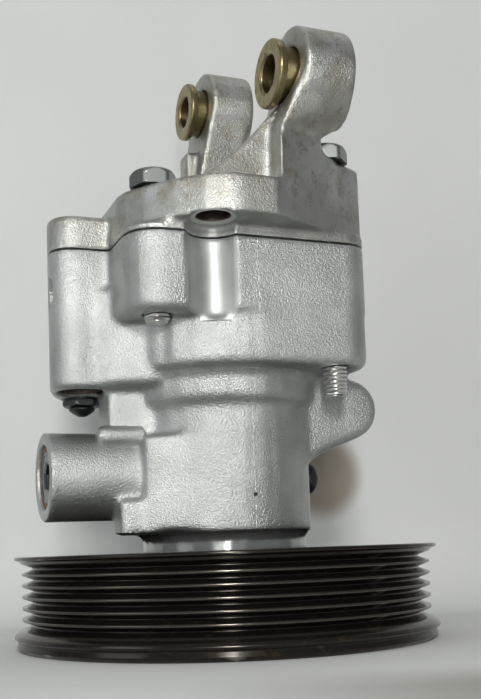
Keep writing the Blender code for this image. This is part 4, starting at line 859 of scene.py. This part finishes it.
# %% Bushes
BUSH = [
    (8.4, 26.2), (8.4, 6.3), (10.1, 6.2), (10.4, 5.9), (10.4, 4.1), (10.0, 3.6), (6.2, 3.6),
    (5.6, 4.2), (5.6, 26.0), (6.0, 26.6), (8.1, 26.6), (8.4, 26.2)]
for side, y, z in (("near", -41.6, 173.7), ("far", 37.1, 195.8)):
    sleeve = turned(f"fine_bush_{side}", BUSH, "pump_body", "X", (0, y, z), rounding=0.2)
    dress(sleeve, YELLOW_ZINC, f"mount_bush_{side}")

# %% [markdown]
# The valve's plug has a socket for a hexagon key. It is a turned surface whose rows
# change from round to hexagonal inside the socket. A ring of rust lies between the plug
# and its boss, and a dark disc of painted shade closes the socket.

# %% Valve plug
KEY_ACROSS = 8.0
# radius, depth behind the face, and how far the row is hexagonal
PLUG_ROWS = np.array([
    (0, 13.1, 0), (3.6, 13.1, 0), (3.6, 10.0, 0), (8.8, 10.0, 0), (8.8, 5.0, 0), (10.0, 5.0, 0),
    (10.0, 0.9, 0), (9.7, 0.35, 0), (9.1, 0.0, 0), (7.4, 0.0, 0), (7.1, 0.25, 0),
    (5.3, 0.25, 0.2), (4.7, 0.3, 1), (4.0, 0.8, 1), (4.0, 4.6, 1), (3.6, 5.0, 1), (0, 5.4, 0)])


def socket_plug():
    """Radius: the row's own, and share of the way from it to a hexagon of the same size."""
    angle = round_angles(96)
    r, z, share = PLUG_ROWS[:, :1], PLUG_ROWS[:, 1:2], PLUG_ROWS[:, 2:]
    six = hexagon_radius(angle, KEY_ACROSS, 0.3) * r / (KEY_ACROSS / 2)
    radius = (1 - share) * r + share * six
    return grid_mesh("fine_valve_plug", along(swept(radius, z, angle), "X", PLUG_FACE), "pump_body")


RING = [(8.1, 0.9), (8.1, -0.12), (9.5, -0.12), (9.9, 0.2), (9.9, 0.9), (8.1, 0.9)]
SOCKET_END = [(0, 4.35), (3.7, 4.35), (3.9, 4.6), (3.7, 4.9), (0, 4.9)]
dress(socket_plug(), PLUG_STEEL, "valve_plug")
dress(turned("plug_rust_ring", RING, "pump_body", "X", PLUG_FACE, rounding=0.15), RUST)
# The socket's floor is painted shade: a dark disc.
dress(turned("socket_floor", SOCKET_END, "pump_body", "X", PLUG_FACE, steps=24), DARK_GAP)

# %% [markdown]
# Black plastic plugs keep dirt out of a new pump: a domed one on the right of the
# barrel, and a pointed cap in the union under the port block. The union itself is a
# hexagon collar on a plain shank with a bore through it.

# %% Domed plug, cap and union
DOME = [
    (0, 5.6), (2.2, 5.35), (4.0, 4.6), (5.2, 3.3), (5.7, 1.7), (5.7, 0.0), (4.0, 0.0),
    (4.0, -8.0), (0, -8.0)]
dome = turned("fine_passage_plug", DOME, "pump_body", "X", DOME_SEAT, rounding=0.6)
dress(dome, PLASTIC, "passage_plug")
CAP = [
    (0, 81.3), (2.9, 81.3), (2.9, 76.9), (4.3, 76.7), (4.4, 75.9), (3.4, 75.0), (1.6, 73.9),
    (0, 73.6)]
cap = turned("fine_union_cap", CAP, "pump_body", at=(*UNION, 0), rounding=0.5)
dress(cap, PLASTIC, "union_cap")
COLLAR = [
    (3.2, 93.2), (5.6, 93.2), (5.6, 78.9), (6.5, 78.9), (6.5, 77.5), (6.0, 77.0), (3.2, 77.0),
    (3.2, 93.2)]
COLLAR_ACROSS = 11.5


def union():
    """Radius: the smaller of the collar's profile and its hexagon."""
    rz = densify(eased(COLLAR), 0.6)
    angle = round_angles(72)
    radius = np.minimum(rz[:, :1], hexagon_radius(angle, COLLAR_ACROSS))
    return grid_mesh("fine_union", swept(radius, rz[:, 1:], angle) + (*UNION, 0), "pump_body")


dress(union(), ZINC, "return_union")

# %% [markdown]
# ## The mould's parting line
# Two halves of the mould met in front of the shaft and left a thin ridge. Its path is
# found by dropping a ray on the casting at each height, and its section is a low
# triangle that starts a little under the skin. Half way up, the line jogs sideways.

# %% Parting line
RIDGE_SECTION = np.array([(-0.24, 0.1), (0.0, -0.08), (0.24, 0.1), (0.0, 0.45)])


def ridge(name, x, low, high, casting):
    """Three columns over the skin and one under it, along the heights between low and high."""
    corners = [v.co for v in casting.data.vertices]
    skin = BVHTree.FromPolygons(corners, [p.vertices for p in casting.data.polygons])
    heights = np.linspace(low, high, 220)
    hits = [skin.ray_cast(Vector((x, -90, z)) * MM, Vector((0, 1, 0)))[0] for z in heights]
    y = np.array([hit.y / MM for hit in hits])
    jog = 0.7 * smooth_step(heights, 82.5, 83.8) - 0.7 * smooth_step(heights, 99, 100)
    middle = x + 0.10 * np.sin(heights * 0.31) + jog
    across = middle[:, None] + RIDGE_SECTION[:, 0]
    depth = y[:, None] + RIDGE_SECTION[:, 1]
    grid = np.stack(np.broadcast_arrays(across, depth, heights[:, None]), axis=-1)
    return grid_mesh(name, grid, "pump_body")


line = ridge("parting_line", -0.2, BARREL_START + 0.8, JOINT_PLANE - 0.5, front_casting)
dress(line, FRONT_CAST)

# %% [markdown]
# Two small marks of the mould are turned pieces. A rounded pad stands on top of the
# valve's boss. Low on the parting line there is a pit, about a millimetre across. It is
# too small to show its depth, so its shade is painted as a dark spot that lies just over the skin.

# %% The boss's pad and the pit
PAD = [(0, 0), (2.0, 0.3), (3.1, 1.4), (3.4, 3.0), (3.4, 15.5), (0, 15.6)]
PAD_END = (-45.4, -9.6, 64.3)
pad = turned("boss_pad", PAD, "pump_body", "X", PAD_END, steps=48, rounding=1.2)
dress(pad, FRONT_CAST)
PIT = [(0, -0.06), (0.3, -0.06), (0.56, -0.04), (0.62, 0.06), (0.6, 0.8), (0, 0.9)]
PIT_AT = (-0.3, -29.15, 44.4)
# The pit's shade is painted as a dark spot.
pit = turned("casting_pit", PIT, "pump_body", "Y", PIT_AT, steps=20, rounding=0)
dress(pit, DARK_GAP)

# %% [markdown]
# ## Floor, light and camera
# The pump stands on a pale cloth that sweeps up behind it. It is square to the camera,
# which looks in from 21 degrees to the left. Its paint carries a painted tan shadow beside
# the barrel and a painted shade in the near corner, and the cloth is clear from behind,
# so that it never hides the pump.

# %% Backdrop
FLOOR = -2.0
BACK = 125.0
SWEEP = 45.0
SIDE = math.radians(21)


def backdrop():
    """A flat floor, a quarter circle and a wall, drawn out sideways and facing the camera."""
    turn = np.linspace(0, math.pi / 2, 16)
    start, foot = BACK - SWEEP, FLOOR + SWEEP
    flat = np.stack([np.linspace(-900, start, 8), np.full(8, FLOOR)], axis=1)
    bend = np.stack([start + SWEEP * np.sin(turn), foot - SWEEP * np.cos(turn)], axis=1)
    wall = np.stack([np.full(6, BACK), np.linspace(foot + 20, 1500, 6)], axis=1)
    line = np.vstack([flat, bend, wall])
    across = np.linspace(-1500, 1500, 5)
    away, high = line[:, :1], line[:, 1:]
    x = across * math.cos(SIDE) + away * math.sin(SIDE)
    y = -across * math.sin(SIDE) + away * math.cos(SIDE)
    points = np.stack([x, y, high + 0 * across], axis=-1)
    faces = grid_faces(*points.shape[:2], wrap=False).tolist()
    mesh = mesh_from("backdrop", points, faces)
    mesh.shade_smooth()
    cloth = show("backdrop", mesh)
    return cloth


def cloth_paint():
    """Pale weave; a painted tan shadow is an ellipse on the wall, and a painted shade in the near
    corner is a band.
    """
    material, tree, shader, where = finish("pale_cloth", (0.70, 0.70, 0.68), 0.9, 0.0)
    clouds = fade(tree, noise(tree, where, 9.0, 2.0), 0.3, 0.7)
    base = mix(tree, clouds, (0.610, 0.622, 0.612, 1.0), (0.650, 0.662, 0.650, 1.0))
    values = {"Vector": where, "Rotation": (0, 0, SIDE)}
    square_on = add_node(tree, "ShaderNodeMapping", values).outputs[0]
    across, away, high = split(tree, square_on)
    sideways = maths(tree, "MULTIPLY_ADD", across, 50.0, -2.3)
    upwards = maths(tree, "MULTIPLY_ADD", high, 45.5, -2.73)
    squares = times(tree, sideways, sideways), times(tree, upwards, upwards)
    ellipse = fade(tree, maths(tree, "ADD", *squares), 1.1, 0.3)
    # Painted shadow: a tan ellipse on the wall beside the barrel, on the wall only.
    shade = times(tree, ellipse, level(tree, away, 60, 90))
    base = paint(tree, base, (0.23, 0.19, 0.14), shade, 0.85)
    # Painted shade: a darker band over the near corner of the floor.
    near = times(tree, level(tree, across, -20, 70), level(tree, away, -85, -125))
    near = times(tree, near, level(tree, away, -260, -170))
    base = paint(tree, base, (0.20, 0.185, 0.15), near, 0.7)
    feed(tree, shader, "Base Color", base)
    bump(tree, shader, noise(tree, where, 2600.0, 3.0), 0.25, 0.15)
    behind = add_node(tree, "ShaderNodeNewGeometry").outputs["Backfacing"]
    clear = add_node(tree, "ShaderNodeBsdfTransparent").outputs[0]
    values = {0: behind, 1: shader.outputs[0], 2: clear}
    both = add_node(tree, "ShaderNodeMixShader", values).outputs[0]
    tree.links.new(both, tree.nodes["Material Output"].inputs["Surface"])
    return material


cloth = backdrop()
cloth.data.materials.append(cloth_paint())
print("backdrop", len(cloth.data.polygons), "faces")

# %% [markdown]
# The key lamp stands close to the camera and is narrow, so it gives the barrel its
# white stripe. A strip low beside it does the same for the grooves. A wide lamp on the
# left and one above open the shadows, and a dim world fills the rest.

# %% Lamps
WARM_WHITE, COOL_WHITE, WHITE = (1.0, 0.985, 0.96), (0.95, 0.98, 1.0), (1.0, 1.0, 1.0)
# name: place, aim, width and height, watts, colour
LAMPS = {
    "key": ((-230, -640, 300), (0, 0, 90), (100, 150), 3.0, WARM_WHITE),
    "strip": ((-205, -590, 45), (0, 0, 20), (34, 150), 0.9, WARM_WHITE),
    "left_fill": ((-620, -160, 260), (0, 0, 90), (300, 400), 0.7, COOL_WHITE),
    "top": ((0, 60, 800), (0, 60, 80), (500, 500), 0.8, WHITE),
}
for name, (stand, aim, size, watts, colour) in LAMPS.items():
    data = bpy.data.lights.new(name, "AREA")
    data.shape = "RECTANGLE"
    data.size, data.size_y = (s * MM for s in size)
    data.energy, data.color = watts, colour
    lamp = show(name, data)
    lamp.location = Vector(stand) * MM
    facing = (Vector(aim) - Vector(stand)).to_track_quat("-Z", "Y")
    lamp.rotation_euler = facing.to_euler()
world = bpy.data.worlds.new("studio")
bpy.context.scene.world = world
world.use_nodes = True
sky = world.node_tree.nodes["Background"].inputs
sky["Color"].default_value = (0.86, 0.87, 0.9, 1.0)
sky["Strength"].default_value = 0.24
print("lamps:", ", ".join(LAMPS))

# %% [markdown]
# The camera sits low, looks slightly up and leans by two degrees, as in the
# photograph. Its lens is worked out from the focal length in pixels and the picture's
# long side, and a small shift frames the pump.

# %% Camera
EYE = Vector((-119.3, -310.9, 27.6))
TILT, LEAN = math.radians(5.1), math.radians(2.05)
FOCAL_PX, LONG_PX, SENSOR = 994.0, 699.0, 36.0
SHIFT_X, SHIFT_Y = 0.0268, 0.16
level_ahead = Vector((math.sin(SIDE), math.cos(SIDE), 0.0))
ahead = level_ahead * math.cos(TILT) + Vector((0.0, 0.0, math.sin(TILT)))
right = Vector((math.cos(SIDE), -math.sin(SIDE), 0.0))
up = right.cross(ahead)
leaning_up = up * math.cos(LEAN) + right * math.sin(LEAN)
leaning_right = right * math.cos(LEAN) - up * math.sin(LEAN)
lens = bpy.data.cameras.new("camera")
lens.sensor_width, lens.lens = SENSOR, SENSOR * FOCAL_PX / LONG_PX
lens.shift_x, lens.shift_y = SHIFT_X, SHIFT_Y
lens.clip_start, lens.clip_end = 0.01, 10.0
camera = show("camera", lens)
turn = Matrix((leaning_right, leaning_up, -ahead)).transposed()
camera.matrix_world = Matrix.Translation(EYE * MM) @ turn.to_4x4()
bpy.context.scene.camera = camera
bpy.context.scene.view_settings.view_transform = "Standard"
print("focal length", round(lens.lens, 1), "mm")
